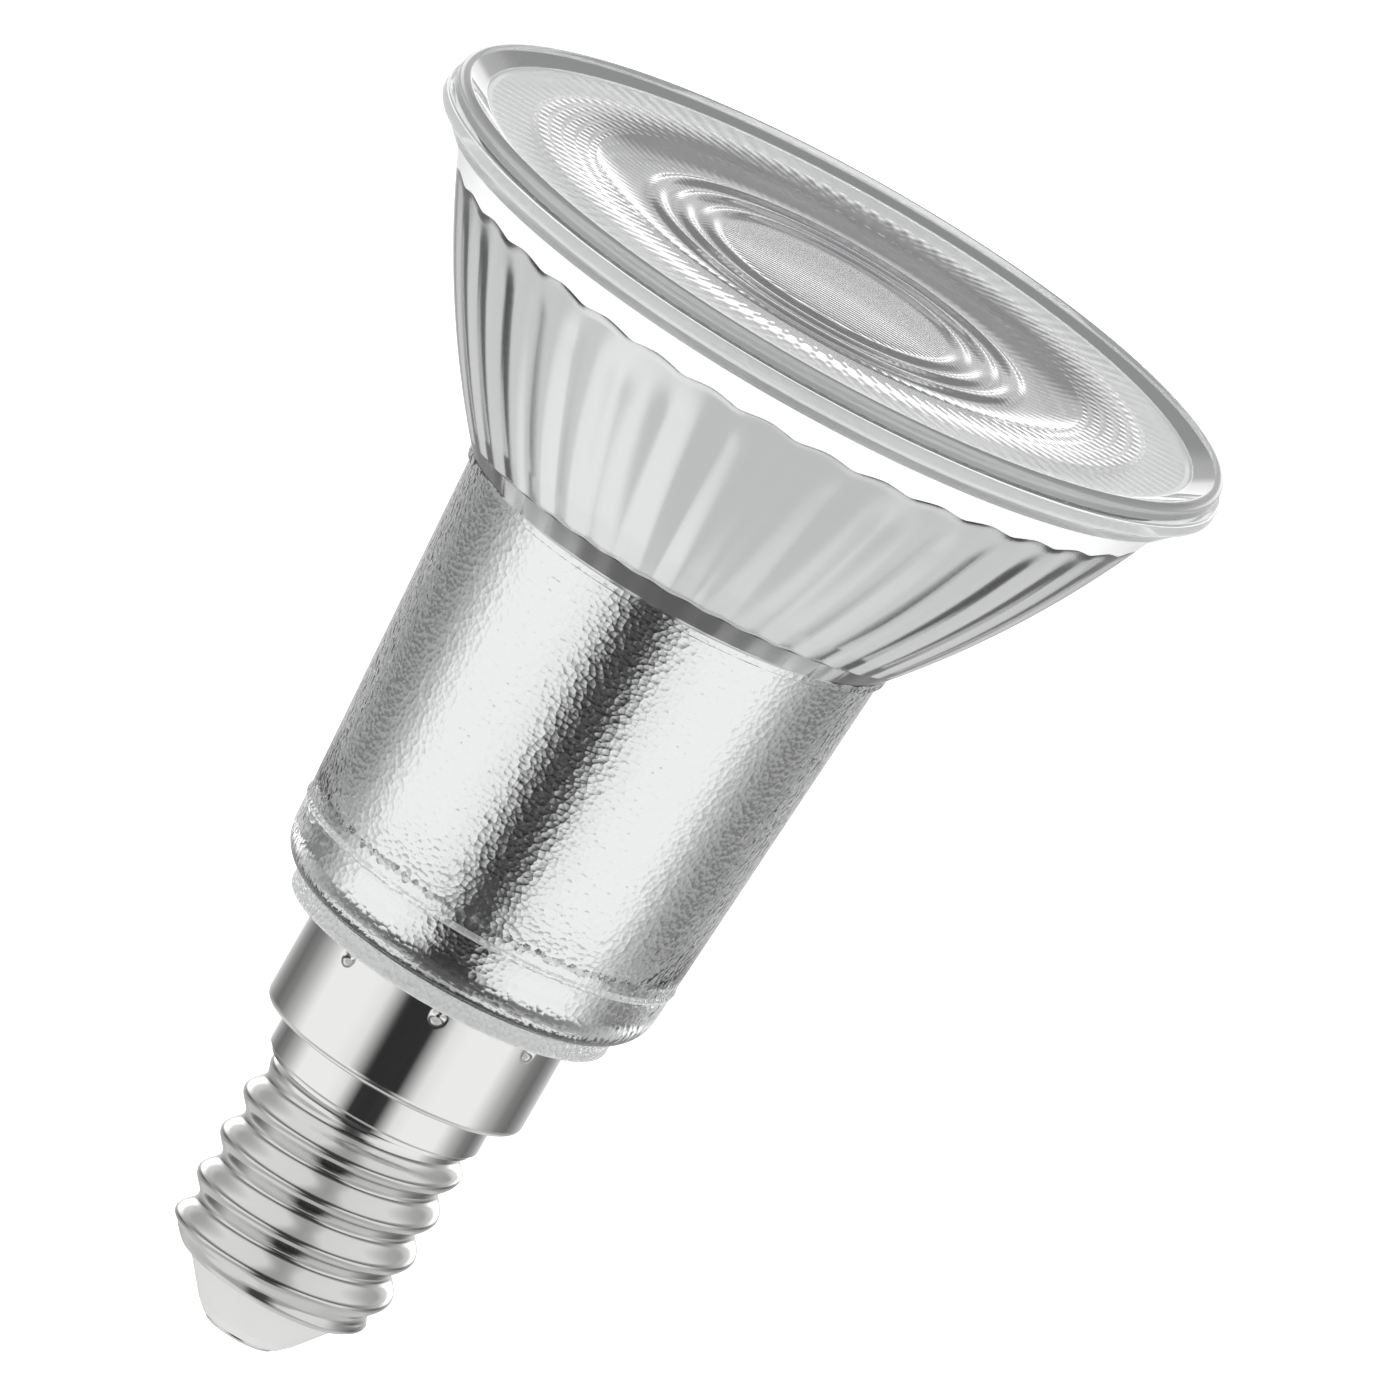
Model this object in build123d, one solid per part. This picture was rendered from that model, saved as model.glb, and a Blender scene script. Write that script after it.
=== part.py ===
from build123d import *
from math import asin, cos, degrees, radians, sin, sqrt
import os

# LED reflector lamp with a fluted pressed-glass body and an E14 screw cap.
# Millimetres. The lamp's axis is Z, the tip of the centre contact is at z = 0 and the lens is on top.
# The front of the lamp, as it is usually shown, faces -Y.

# Clearances
FIT_GAP = 0.05  # push fits, on the radius
LOOSE_GAP = 0.2  # pieces that are dropped into place

# Screw cap
CAP_HEIGHT = 25.4
CONTACT_D = 4.8
CONTACT_THICK = 0.3
CONTACT_SHANK_D = 2.2
CONTACT_BORE_D = 1.1
CONTACT_RIVET_D = 3.4
CONTACT_RIVET_HEIGHT = 0.4
INSULATOR_TIP_D = 6.5
INSULATOR_TIP_ROUND = 0.6
INSULATOR_CONE_HEIGHT = 3.2
INSULATOR_FLANGE_HEIGHT = 1.4
SHELL_SHEET = 0.3
SHELL_MOUTH_D = 10.6
SHELL_END_RISE = 2.4  # of the cone that trims the thread's end, out to the skirt's radius
THREAD_CREST_D = 13.8
THREAD_ROOT_D = 12.2
THREAD_PITCH = 2.822
THREAD_CREST_HEIGHT = 3.28  # height of the first crest on the +X side
THREAD_FOOT_WIDTH = 1.9
THREAD_SHOULDER_WIDTH = 1.15
THREAD_SHOULDER_DROP = 0.235  # from the crest
LAND_HEIGHT = 2.7
LAND_D = 13.9
SKIRT_D = 17.0
SKIRT_HEIGHT = 6.55
SKIRT_EDGE_ROUND = 0.4
CRIMP_COUNT = 8
CRIMP_ANGLE = -83.2  # direction of the first crimp, from +X
CRIMP_BELOW_EDGE = 0.8
CRIMP_D = 0.9
CRIMP_TIP_D = 0.5
CRIMP_DEPTH = 0.4

# Pressed glass body
COLLAR_D = 21.1
COLLAR_HEIGHT = 1.25
COLLAR_EDGE_ROUND = 0.3
SHOULDER_ROUND = 2.6
FLOOR_THICK = 1.8
NECK_BOTTOM_D = 24.3
NECK_TOP_D = 27.4
NECK_HEIGHT = 27.9  # from the collar's lower face
NECK_WALL = 1.9
NECK_BEAD_HEIGHT = 5.4  # from the collar's lower face
NECK_BEAD_WIDTH = 0.5
NECK_BEAD_RISE = 0.1
SEAT_DEPTH = 0.9
SEAT_HEIGHT = 0.2  # above the neck's upper end
BOWL_FOOT_STEP = 0.275  # from the neck's upper end out to the bowl's foot
BOWL_EDGE_HEIGHT = 0.5
BOWL_HEIGHT = 15.6
BOWL_BULGE = 0.67
BOWL_WALL = 1.8
FLUTE_COUNT = 36
FLUTE_STRIP_COUNT = 4  # flat strips across one flute
FLUTE_SPAN_COUNT = 3  # straight spans along one flute
FLUTE_DEPTH = 0.32
FLUTE_ANGLE = -88.5  # direction of one flute's middle, from +X
FACET_BAND_HEIGHT = 2.0
SCALLOP_BELOW_BOWL_TOP = 0.4
RIM_D = 51.6
RIM_HEIGHT = 3.0  # from the bowl's upper end
RIM_EDGE_HEIGHT = 1.0
RIM_EDGE_SLOPE = 0.35
RIM_EDGE_ROUND = 0.2
RIM_WIDTH = 2.5  # from the rim's edge in to its bore
RIM_OVERHANG = 2.33  # from the rim's edge in to the bowl's upper end

# Front lens
SEAL_THICK = 0.15
SEAL_WIDTH = 1.5
LENS_EDGE_INSET = 0.35  # from the rim's edge
LENS_EDGE_HEIGHT = 0.95
LENS_CREST_WIDTH = 0.9
LENS_FACE_DROP = 0.6  # from the crest to the flat outer face
LENS_THICK = 1.8
COVE_OUTER_D = 32.4
COVE_INNER_D = 25.6
COVE_DEPTH = 0.55
STEP_OUTER_D = 22.4
STEP_INNER_D = 18.4
STEP_RISE = 0.22
LENS_CENTRE_D = 14.8
LENS_CENTRE_DOME = 0.25

# Light engine
SPREADER_THICK = 1.0
SPREADER_WALL = 0.8
SPREADER_DEPTH = 19.0
PAD_THICK = 0.2
LED_BOARD_D = 21.0
LED_BOARD_THICK = 1.2
CHIP_LENGTH = 3.5
CHIP_WIDTH = 2.8
CHIP_HEIGHT = 0.7
CHIP_WALL = 0.3
CHIP_WELL_DEPTH = 0.2
CHIP_COUNT = 4
CHIP_CIRCLE_D = 7.0
SCREW_D = 2.0
SCREW_HEAD_D = 3.6
SCREW_HEAD_HEIGHT = 1.3
SCREW_SLOT_LENGTH = 2.2
SCREW_SLOT_WIDTH = 0.5
SCREW_SLOT_DEPTH = 0.7
SCREW_TIP = 0.5  # below the spreader's disc
SCREW_CIRCLE_D = 13.6
SCREW_ANGLE = 56.0
LEAD_D = 0.7
LEAD_STUB = 0.4  # above the LED board
LEAD_OVERLAP = 3.0  # along the driver board
LED_LEAD_SPACING = 8.4
LEAD_HOLE_D = 2.4

# Driver
HOUSING_WALL = 1.0
HOUSING_FLANGE_HEIGHT = 1.0
RAIL_WIDTH = 1.0
RAIL_REACH = 1.2
BOARD_THICK = 1.0
BOARD_OFFSET = 4.0  # from the lamp's axis towards -Y
BOARD_TOP_GAP = 2.0
COMPONENT_RISE = 3.5  # from the board's lower edge to the capacitors
COMPONENT_GAP = 1.2  # between components along the board
INPUT_CAP_D = 7.6
INPUT_CAP_LENGTH = 10.0
INPUT_CAP_OFFSET = 3.2
OUTPUT_CAP_D = 5.0
OUTPUT_CAP_LENGTH = 7.0
OUTPUT_CAP_OFFSET = 3.6
CAP_GROOVE_DEPTH = 0.4
CAP_LEAD_D = 0.6
CAP_LEAD_SPACING = 2.5
CAP_LEAD_DROP = 1.0
INDUCTOR_D = 6.4
INDUCTOR_CORE_D = 4.4
INDUCTOR_HEIGHT = 6.0
INDUCTOR_CHEEK = 1.1
BRIDGE_LENGTH = 4.7
BRIDGE_WIDTH = 3.9
BRIDGE_HEIGHT = 1.6
IC_LENGTH = 4.9
IC_WIDTH = 3.9
IC_HEIGHT = 1.5
PACKAGE_LEG_REACH = 1.6
PACKAGE_RISE = 6.0  # from the board's lower edge to the rectifier's middle
RESISTOR_D = 3.0
RESISTOR_LENGTH = 7.0
RESISTOR_WAIST = 0.3
RESISTOR_STAND = 2.4  # above the contact's rivet

BOTTOM = (Align.CENTER, Align.CENTER, Align.MIN)

# Heights that follow from the sizes above
shell_end_z = CONTACT_THICK + INSULATOR_CONE_HEIGHT
skirt_z = CAP_HEIGHT - SKIRT_HEIGHT
land_z = skirt_z - LAND_HEIGHT
floor_z = CAP_HEIGHT + FLOOR_THICK
neck_top_z = CAP_HEIGHT + NECK_HEIGHT
seat_z = neck_top_z + SEAT_HEIGHT
bowl_z = neck_top_z + BOWL_EDGE_HEIGHT
bowl_top_z = bowl_z + BOWL_HEIGHT
rim_z = bowl_top_z + RIM_HEIGHT
lens_z = rim_z + SEAL_THICK
crest_z = lens_z + LENS_EDGE_HEIGHT
face_z = crest_z - LENS_FACE_DROP


def turned(*lines):
    """Solid of revolution about Z from the lines of a closed outline in r and z."""
    edges = [edge for line in lines for edge in line.edges()]
    return revolve(Plane.XZ * make_face(edges), Axis.Z)


def turned_polygon(*points):
    """Solid of revolution about Z from the corners of an outline in r and z."""
    return turned(Polyline(*points, close=True))


def rod(diameter, z_low, z_high, x=0.0, y=0.0):
    """Round bar along Z."""
    return Pos(x, y, z_low) * Cylinder(diameter / 2, z_high - z_low, align=BOTTOM)


def around(piece, count, first_angle=0.0):
    """Copies of a piece at even steps about Z."""
    return [Rot(0, 0, first_angle + index * 360 / count) * piece for index in range(count)]


def wire(diameter, *points):
    """Bent wire with mitred corners through the points given."""
    path = Polyline(*points)
    section = Plane(origin=path @ 0, z_dir=path % 0) * Circle(diameter / 2)
    return sweep(section, path=path, transition=Transition.RIGHT)


def polar(radius, angle):
    """Point at a radius and an angle from +X, in degrees."""
    return (radius * cos(radians(angle)), radius * sin(radians(angle)))


def arc_points(centre, radius, first_angle, last_angle, steps):
    """Points at even steps along an arc, for the rounds of a turned outline."""
    turn = (last_angle - first_angle) / steps
    places = [polar(radius, first_angle + index * turn) for index in range(steps + 1)]
    return [(centre[0] + x, centre[1] + y) for x, y in places]


# Shared radii and places
skirt_bore_r = SKIRT_D / 2 - SHELL_SHEET
spigot_r = skirt_bore_r - FIT_GAP
land_bore_r = LAND_D / 2 - SHELL_SHEET
insulator_top_z = shell_end_z + SHELL_SHEET + INSULATOR_FLANGE_HEIGHT
neck_bore_low_r = NECK_BOTTOM_D / 2 - NECK_WALL
neck_bore_top_r = NECK_TOP_D / 2 - NECK_WALL
seat_r = neck_bore_top_r + SEAT_DEPTH
rim_bore_r = RIM_D / 2 - RIM_WIDTH
lens_r = RIM_D / 2 - LENS_EDGE_INSET
bowl_low_r = NECK_TOP_D / 2 + BOWL_FOOT_STEP
bowl_top_r = RIM_D / 2 - RIM_OVERHANG
bowl_line = SagittaArc((bowl_low_r, bowl_z), (bowl_top_r, bowl_top_z), -BOWL_BULGE)
flute_low_z = seat_z + FACET_BAND_HEIGHT
scallop_z = bowl_top_z - SCALLOP_BELOW_BOWL_TOP
spreader_top_z = seat_z + SPREADER_THICK
pad_top_z = spreader_top_z + PAD_THICK
led_board_top_z = pad_top_z + LED_BOARD_THICK
spreader_low_share = 1 - SPREADER_DEPTH / (seat_z - floor_z)
spreader_r = neck_bore_low_r + spreader_low_share * (neck_bore_top_r - neck_bore_low_r) - LOOSE_GAP
housing_tube_r = spreader_r - SPREADER_WALL - LOOSE_GAP
housing_bore_r = housing_tube_r - HOUSING_WALL
housing_top_z = seat_z - LOOSE_GAP
board_z = floor_z + HOUSING_FLANGE_HEIGHT
board_top_z = seat_z - BOARD_TOP_GAP
board_front_y = BOARD_THICK / 2 - BOARD_OFFSET
board_rear_y = -BOARD_THICK / 2 - BOARD_OFFSET
board_half_width = sqrt(housing_bore_r**2 - board_rear_y**2) - LOOSE_GAP
component_z = board_z + COMPONENT_RISE
bridge_z = board_z + PACKAGE_RISE
resistor_z = insulator_top_z + CONTACT_RIVET_HEIGHT + RESISTOR_STAND


def bowl_inside_r(z):
    """Radius of the bowl's inner face at a height, one wall inside its outer line."""
    centre = bowl_line.arc_center
    return centre.X + sqrt((bowl_line.radius - BOWL_WALL) ** 2 - (z - centre.Y) ** 2)


def crimp_punches(offset):
    """Blunt cones that press the crimps into the skirt, grown by an offset."""
    depth = CRIMP_DEPTH + offset
    punch = Cone(CRIMP_TIP_D / 2 + offset, CRIMP_D / 2 + offset, depth, align=BOTTOM)
    place = Pos(SKIRT_D / 2 - depth, 0, CAP_HEIGHT - CRIMP_BELOW_EDGE) * Rot(0, 90, 0)
    return around(place * punch, CRIMP_COUNT, CRIMP_ANGLE)


# Screw cap


def centre_contact():
    """Riveted contact button with a blind bore for the lead."""
    radius, shank, bore = CONTACT_D / 2, CONTACT_SHANK_D / 2, CONTACT_BORE_D / 2
    rivet, rivet_z = CONTACT_RIVET_D / 2, insulator_top_z + CONTACT_RIVET_HEIGHT
    bevel = CONTACT_THICK / 2
    return turned_polygon(
        (0, 0), (radius - bevel, 0), (radius, bevel), (radius, CONTACT_THICK), (shank, CONTACT_THICK),
        (shank, insulator_top_z), (rivet, insulator_top_z), (shank, rivet_z), (bore, rivet_z),
        (bore, CONTACT_THICK), (0, CONTACT_THICK),
    )


def base_insulator():
    """Moulded cone that closes the cap, held by its flange behind the shell's mouth."""
    bore, tip = CONTACT_SHANK_D / 2 + FIT_GAP, INSULATOR_TIP_D / 2
    neck = SHELL_MOUTH_D / 2 - FIT_GAP
    flange = THREAD_ROOT_D / 2 - SHELL_SHEET - FIT_GAP
    flange_z = shell_end_z + SHELL_SHEET
    return turned_polygon(
        (bore, CONTACT_THICK), (tip - INSULATOR_TIP_ROUND, CONTACT_THICK),
        (tip, CONTACT_THICK + INSULATOR_TIP_ROUND), (neck, shell_end_z), (neck, flange_z),
        (flange, flange_z), (flange, insulator_top_z), (bore, insulator_top_z),
    )


def thread_ridge():
    """Knuckle ridge of the screw thread, from below the shell's mouth up into the plain land."""
    crest, root = THREAD_CREST_D / 2, THREAD_ROOT_D / 2
    shoulder = crest - THREAD_SHOULDER_DROP
    half_shoulder, half_foot = THREAD_SHOULDER_WIDTH / 2, THREAD_FOOT_WIDTH / 2
    flank = (half_foot - half_shoulder) / (shoulder - root)
    sunk = root - SHELL_SHEET / 2
    half_sunk = half_foot + flank * SHELL_SHEET / 2
    outline = Polyline(
        (sunk, -half_sunk), (shoulder, -half_shoulder), (crest, 0), (shoulder, half_shoulder),
        (sunk, half_sunk), close=True,
    )
    lead_in = THREAD_PITCH / 4
    start_z = THREAD_CREST_HEIGHT - lead_in
    path = Helix(THREAD_PITCH, land_z + LAND_HEIGHT / 2 - start_z, crest)
    ridge = sweep(Plane.XZ * make_face(outline.edges()), path=path, is_frenet=True)
    return Pos(0, 0, start_z) * Rot(0, 0, -90) * ridge


def screw_shell():
    """Drawn sheet shell: curled mouth, rolled thread, plain land and crimped skirt."""
    root, land, skirt = THREAD_ROOT_D / 2, LAND_D / 2, SKIRT_D / 2
    rise = land - root
    mouth = turned_polygon(
        (0, shell_end_z), (root - SHELL_SHEET, shell_end_z), (skirt, shell_end_z + SHELL_END_RISE),
        (skirt, skirt_z), (0, skirt_z),
    )
    barrel = (rod(THREAD_ROOT_D, 0, skirt_z) + thread_ridge()) & mouth
    edge = (skirt - SKIRT_EDGE_ROUND, skirt_z + SKIRT_EDGE_ROUND)
    upper = turned_polygon(
        (0, CAP_HEIGHT), (0, land_z - rise), (root, land_z - rise), (land, land_z), (land, skirt_z),
        *arc_points(edge, SKIRT_EDGE_ROUND, -90, 0, 3), (skirt, CAP_HEIGHT),
    )
    inside = turned_polygon(
        (0, shell_end_z + SHELL_SHEET), (root - SHELL_SHEET, shell_end_z + SHELL_SHEET),
        (root - SHELL_SHEET, land_z - rise + SHELL_SHEET / 2), (land_bore_r, land_z + SHELL_SHEET / 2),
        (land_bore_r, skirt_z + SHELL_SHEET), (skirt_bore_r, skirt_z + SHELL_SHEET),
        (skirt_bore_r, CAP_HEIGHT), (0, CAP_HEIGHT),
    )
    shell = barrel + upper - crimp_punches(0)
    shell -= inside - crimp_punches(SHELL_SHEET)
    return shell - rod(SHELL_MOUTH_D, shell_end_z, shell_end_z + SHELL_SHEET)


# Pressed glass body


def glass_outside():
    """Outer form of the glass: collar, shoulder, neck with its bead line, bowl and rim, filled in."""
    collar, neck_low, neck_top = COLLAR_D / 2, NECK_BOTTOM_D / 2, NECK_TOP_D / 2
    shoulder_z = CAP_HEIGHT + COLLAR_HEIGHT
    centre_r = neck_low - SHOULDER_ROUND
    centre_z = shoulder_z + sqrt(SHOULDER_ROUND**2 - (collar - centre_r) ** 2)
    turn = degrees(asin((centre_z - shoulder_z) / SHOULDER_ROUND))
    bead_z = CAP_HEIGHT + NECK_BEAD_HEIGHT
    half_bead = NECK_BEAD_WIDTH / 2

    def neck(z):
        return neck_low + (neck_top - neck_low) * (z - centre_z) / (neck_top_z - centre_z)

    rim_edge_z = rim_z - RIM_EDGE_HEIGHT
    return turned(
        Polyline(
            (RIM_D / 2 - RIM_EDGE_ROUND, rim_z), (0, rim_z), (0, CAP_HEIGHT),
            (collar - COLLAR_EDGE_ROUND, CAP_HEIGHT), (collar, CAP_HEIGHT + COLLAR_EDGE_ROUND),
            *arc_points((centre_r, centre_z), SHOULDER_ROUND, -turn, 0, 4),
            (neck(bead_z - half_bead), bead_z - half_bead), (neck(bead_z) + NECK_BEAD_RISE, bead_z),
            (neck(bead_z + half_bead), bead_z + half_bead), (neck_top, neck_top_z),
            (bowl_low_r, neck_top_z), (bowl_low_r, bowl_z),
        ),
        bowl_line,
        Polyline(
            (bowl_top_r, bowl_top_z), (RIM_D / 2 - RIM_EDGE_SLOPE, rim_edge_z),
            (RIM_D / 2, rim_edge_z + RIM_EDGE_SLOPE), (RIM_D / 2, rim_z - RIM_EDGE_ROUND),
            (RIM_D / 2 - RIM_EDGE_ROUND, rim_z),
        ),
    )


def flute_ring(radius, z):
    """Ring of outward lobes that meet in cusps, as deep as its share of the uppermost flutes."""
    depth = FLUTE_DEPTH * radius / bowl_inside_r(scallop_z)
    step = 360 / (FLUTE_COUNT * FLUTE_STRIP_COUNT)
    points = []
    for index in range(FLUTE_COUNT * FLUTE_STRIP_COUNT):
        from_middle = 2 * (index % FLUTE_STRIP_COUNT) / FLUTE_STRIP_COUNT - 1
        angle = FLUTE_ANGLE + (index - FLUTE_STRIP_COUNT / 2) * step
        points.append(polar(radius - depth * from_middle**2, angle))
    return Pos(0, 0, z) * make_face(Polyline(*points, close=True).edges())


def facet_ring(radius, z):
    """Polygon with one flat side under each flute."""
    return Pos(0, 0, z) * Rot(0, 0, FLUTE_ANGLE) * RegularPolygon(radius, FLUTE_COUNT, major_radius=False)


def fluted_bowl():
    """Space inside the bowl: flutes that fan out to the rim."""
    step = (bowl_top_z + SCALLOP_BELOW_BOWL_TOP - flute_low_z) / FLUTE_SPAN_COUNT
    heights = [flute_low_z + index * step for index in range(FLUTE_SPAN_COUNT + 1)]
    return loft([flute_ring(bowl_inside_r(z), z) for z in heights], ruled=True)


def glass_reflector():
    """One pressed piece: collar, neck and bowl, with flutes inside the bowl and a seat at its foot."""
    scallop_r = bowl_inside_r(scallop_z)
    ledge_z = scallop_z + rim_bore_r - scallop_r
    neck_bore = turned_polygon(
        (0, floor_z), (neck_bore_low_r, floor_z), (neck_bore_top_r, seat_z), (0, seat_z)
    )
    low_r = scallop_r - 2 * FLUTE_DEPTH - RIM_WIDTH
    rim_bore = turned_polygon(
        (0, scallop_z - scallop_r + low_r), (low_r, scallop_z - scallop_r + low_r),
        (rim_bore_r, ledge_z), (rim_bore_r, rim_z), (0, rim_z),
    )
    collar_hole = rod(2 * skirt_bore_r, CAP_HEIGHT, floor_z)
    flute_low_r = bowl_inside_r(flute_low_z)
    facets = loft([facet_ring(seat_r, seat_z), facet_ring(flute_low_r, flute_low_z)], ruled=True)
    return glass_outside() - collar_hole - neck_bore - facets - fluted_bowl() - rim_bore


# Front lens


def lens_seal():
    """Bead of clear adhesive between the glass rim and the lens."""
    outer = lens_r - LOOSE_GAP
    return rod(2 * outer, rim_z, lens_z) - rod(2 * (outer - SEAL_WIDTH), rim_z, lens_z)


def lens_cover():
    """Moulded lens: raised crest, flat outer face, cove, stepped rings and a raised centre."""
    plug = rim_bore_r - LOOSE_GAP
    half_crest = LENS_CREST_WIDTH / 2
    low_z = face_z - COVE_DEPTH
    rings = [COVE_INNER_D / 2, STEP_OUTER_D / 2, STEP_INNER_D / 2, LENS_CENTRE_D / 2]
    teeth = [(rings[0], low_z)]
    for outer, inner in zip(rings, rings[1:]):
        teeth += [(outer, low_z + STEP_RISE), (inner, low_z)]
    crest = (lens_r - half_crest, crest_z - half_crest)
    return turned_polygon(
        (0, face_z - LENS_THICK), (plug, face_z - LENS_THICK), (plug, lens_z), (lens_r, lens_z),
        *arc_points(crest, half_crest, 0, 135, 3), (plug, face_z), (COVE_OUTER_D / 2, face_z),
        (COVE_INNER_D / 2 + COVE_DEPTH, low_z), *teeth,
        (LENS_CENTRE_D / 2 - LENS_CENTRE_DOME, low_z + LENS_CENTRE_DOME), (0, low_z + LENS_CENTRE_DOME),
    )


# Light engine


def lead_points():
    """Places of the two wires that rise from the driver board's front face to the LED board."""
    y = board_front_y + LEAD_D / 2 + FIT_GAP
    return [(side * LED_LEAD_SPACING / 2, y) for side in (-1, 1)]


def screw_points():
    """Places of the two screws that hold the LED board down."""
    return [polar(SCREW_CIRCLE_D / 2, SCREW_ANGLE + turn) for turn in (0, 180)]


def drilled(plate, z_low, z_high, screw_hole_d, lead_hole_d):
    """Plate with its screw and lead holes."""
    plate -= [rod(screw_hole_d, z_low, z_high, x, y) for x, y in screw_points()]
    return plate - [rod(lead_hole_d, z_low, z_high, x, y) for x, y in lead_points()]


def heat_spreader():
    """Drawn cup: a disc on the glass seat and a wall that hangs in the neck's bore."""
    low_z = seat_z - SPREADER_DEPTH
    disc_r = seat_r - LOOSE_GAP
    cup = rod(2 * disc_r, seat_z, spreader_top_z) + rod(2 * spreader_r, low_z, seat_z)
    cup -= rod(2 * (spreader_r - SPREADER_WALL), low_z, seat_z)
    return drilled(cup, seat_z, spreader_top_z, SCREW_D + 2 * FIT_GAP, LEAD_HOLE_D)


def thermal_pad():
    """Soft pad between the LED board and the spreader."""
    pad = rod(LED_BOARD_D, spreader_top_z, pad_top_z)
    return drilled(pad, spreader_top_z, pad_top_z, SCREW_D + 2 * LOOSE_GAP, LEAD_HOLE_D)


def led_board():
    """Round metal-core board that carries the chips."""
    board = rod(LED_BOARD_D, pad_top_z, led_board_top_z)
    return drilled(board, pad_top_z, led_board_top_z, SCREW_D + 2 * LOOSE_GAP, LEAD_D + 2 * FIT_GAP)


def led_chips():
    """Chips in a ring about the axis, each with its light-giving face in a shallow tray."""
    tray = Box(CHIP_WIDTH, CHIP_LENGTH, CHIP_HEIGHT, align=BOTTOM)
    well = Box(CHIP_WIDTH - 2 * CHIP_WALL, CHIP_LENGTH - 2 * CHIP_WALL, CHIP_WELL_DEPTH, align=BOTTOM)
    chip = tray - Pos(0, 0, CHIP_HEIGHT - CHIP_WELL_DEPTH) * well
    return Compound(children=around(Pos(CHIP_CIRCLE_D / 2, 0, led_board_top_z) * chip, CHIP_COUNT))


def board_screws():
    """Two cross-recess screws, through the board and the pad into the spreader."""
    head_top_z = led_board_top_z + SCREW_HEAD_HEIGHT
    slot = Pos(0, 0, head_top_z - SCREW_SLOT_DEPTH) * Box(
        SCREW_SLOT_LENGTH, SCREW_SLOT_WIDTH, SCREW_SLOT_DEPTH, align=BOTTOM
    )
    bevel = SCREW_HEAD_HEIGHT / 3
    head = turned_polygon(
        (0, led_board_top_z), (SCREW_HEAD_D / 2, led_board_top_z), (SCREW_HEAD_D / 2, head_top_z - bevel),
        (SCREW_HEAD_D / 2 - bevel, head_top_z), (0, head_top_z),
    )
    screw = head + rod(SCREW_D, seat_z - SCREW_TIP, led_board_top_z) - slot - Rot(0, 0, 90) * slot
    return Compound(children=[Pos(x, y, 0) * screw for x, y in screw_points()])


def led_leads():
    """Two solid wires from the driver board's face up through the LED board."""
    low_z, high_z = board_top_z - LEAD_OVERLAP, led_board_top_z + LEAD_STUB
    return Compound(children=[rod(LEAD_D, low_z, high_z, x, y) for x, y in lead_points()])


# Driver


def board_slot(half_width, thickness, z_low, z_high):
    """Block in the plane of the driver board."""
    block = Box(2 * half_width, thickness, z_high - z_low, align=BOTTOM)
    return Pos(0, -BOARD_OFFSET, z_low) * block


def driver_housing():
    """Moulded sleeve: grooved spigot in the cap's skirt, flange on the glass floor, tube with rails."""
    spigot_bore = spigot_r - HOUSING_WALL
    flange_r = neck_bore_low_r - LOOSE_GAP
    groove_r = SKIRT_D / 2 - SHELL_SHEET - CRIMP_DEPTH - FIT_GAP
    groove_z = CAP_HEIGHT - CRIMP_BELOW_EDGE - CRIMP_D / 2 - SHELL_SHEET
    sleeve = turned_polygon(
        (spigot_bore, skirt_z + SHELL_SHEET), (spigot_r, skirt_z + SHELL_SHEET), (spigot_r, groove_z),
        (groove_r, groove_z), (groove_r, CAP_HEIGHT), (spigot_r, CAP_HEIGHT), (spigot_r, floor_z),
        (flange_r, floor_z), (flange_r, board_z), (housing_tube_r, board_z),
        (housing_tube_r, housing_top_z), (housing_bore_r, housing_top_z), (housing_bore_r, board_z),
        (spigot_bore, board_z),
    )
    slot_thick = BOARD_THICK + 2 * FIT_GAP
    rails = board_slot(housing_bore_r, slot_thick + 2 * RAIL_WIDTH, board_z, board_top_z)
    rails &= rod(2 * (housing_bore_r + FIT_GAP), board_z, board_top_z)
    rails -= board_slot(board_half_width - RAIL_REACH, slot_thick + 2 * RAIL_WIDTH, board_z, board_top_z)
    rails -= board_slot(board_half_width + FIT_GAP, slot_thick, board_z, board_top_z)
    return sleeve + rails


def driver_board():
    """Upright board that stands on the housing's ledge between the rails."""
    return board_slot(board_half_width, BOARD_THICK, board_z, board_top_z)


def capacitor(diameter, length, x):
    """Electrolytic can that lies along the board's front face, with its leads bent to the board."""
    radius, groove = diameter / 2, CAP_GROOVE_DEPTH
    can = turned_polygon(
        (0, 0), (radius, 0), (radius, 2 * groove), (radius - groove, 3 * groove), (radius, 4 * groove),
        (radius, length - groove), (radius - groove, length), (0, length),
    )
    y = board_front_y + radius + FIT_GAP
    leads = [
        wire(
            CAP_LEAD_D,
            (x + side * CAP_LEAD_SPACING / 2, y, component_z),
            (x + side * CAP_LEAD_SPACING / 2, y, component_z - CAP_LEAD_DROP),
            (x + side * CAP_LEAD_SPACING / 2, board_front_y, component_z - CAP_LEAD_DROP),
        )
        for side in (-1, 1)
    ]
    return Pos(x, y, component_z) * can + leads


def inductor_turned(*points):
    """Solid of revolution about the choke's axis, which stands out from the board's front face."""
    z = component_z + INPUT_CAP_LENGTH + COMPONENT_GAP + INDUCTOR_D / 2
    return Pos(0, board_front_y, z) * Rot(-90, 0, 0) * turned_polygon(*points)


def inductor_core():
    """Ferrite drum with two cheeks."""
    core, cheek, height = INDUCTOR_CORE_D / 2, INDUCTOR_D / 2, INDUCTOR_HEIGHT
    return inductor_turned(
        (0, 0), (cheek, 0), (cheek, INDUCTOR_CHEEK), (core, INDUCTOR_CHEEK), (core, height - INDUCTOR_CHEEK),
        (cheek, height - INDUCTOR_CHEEK), (cheek, height), (0, height),
    )


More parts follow.
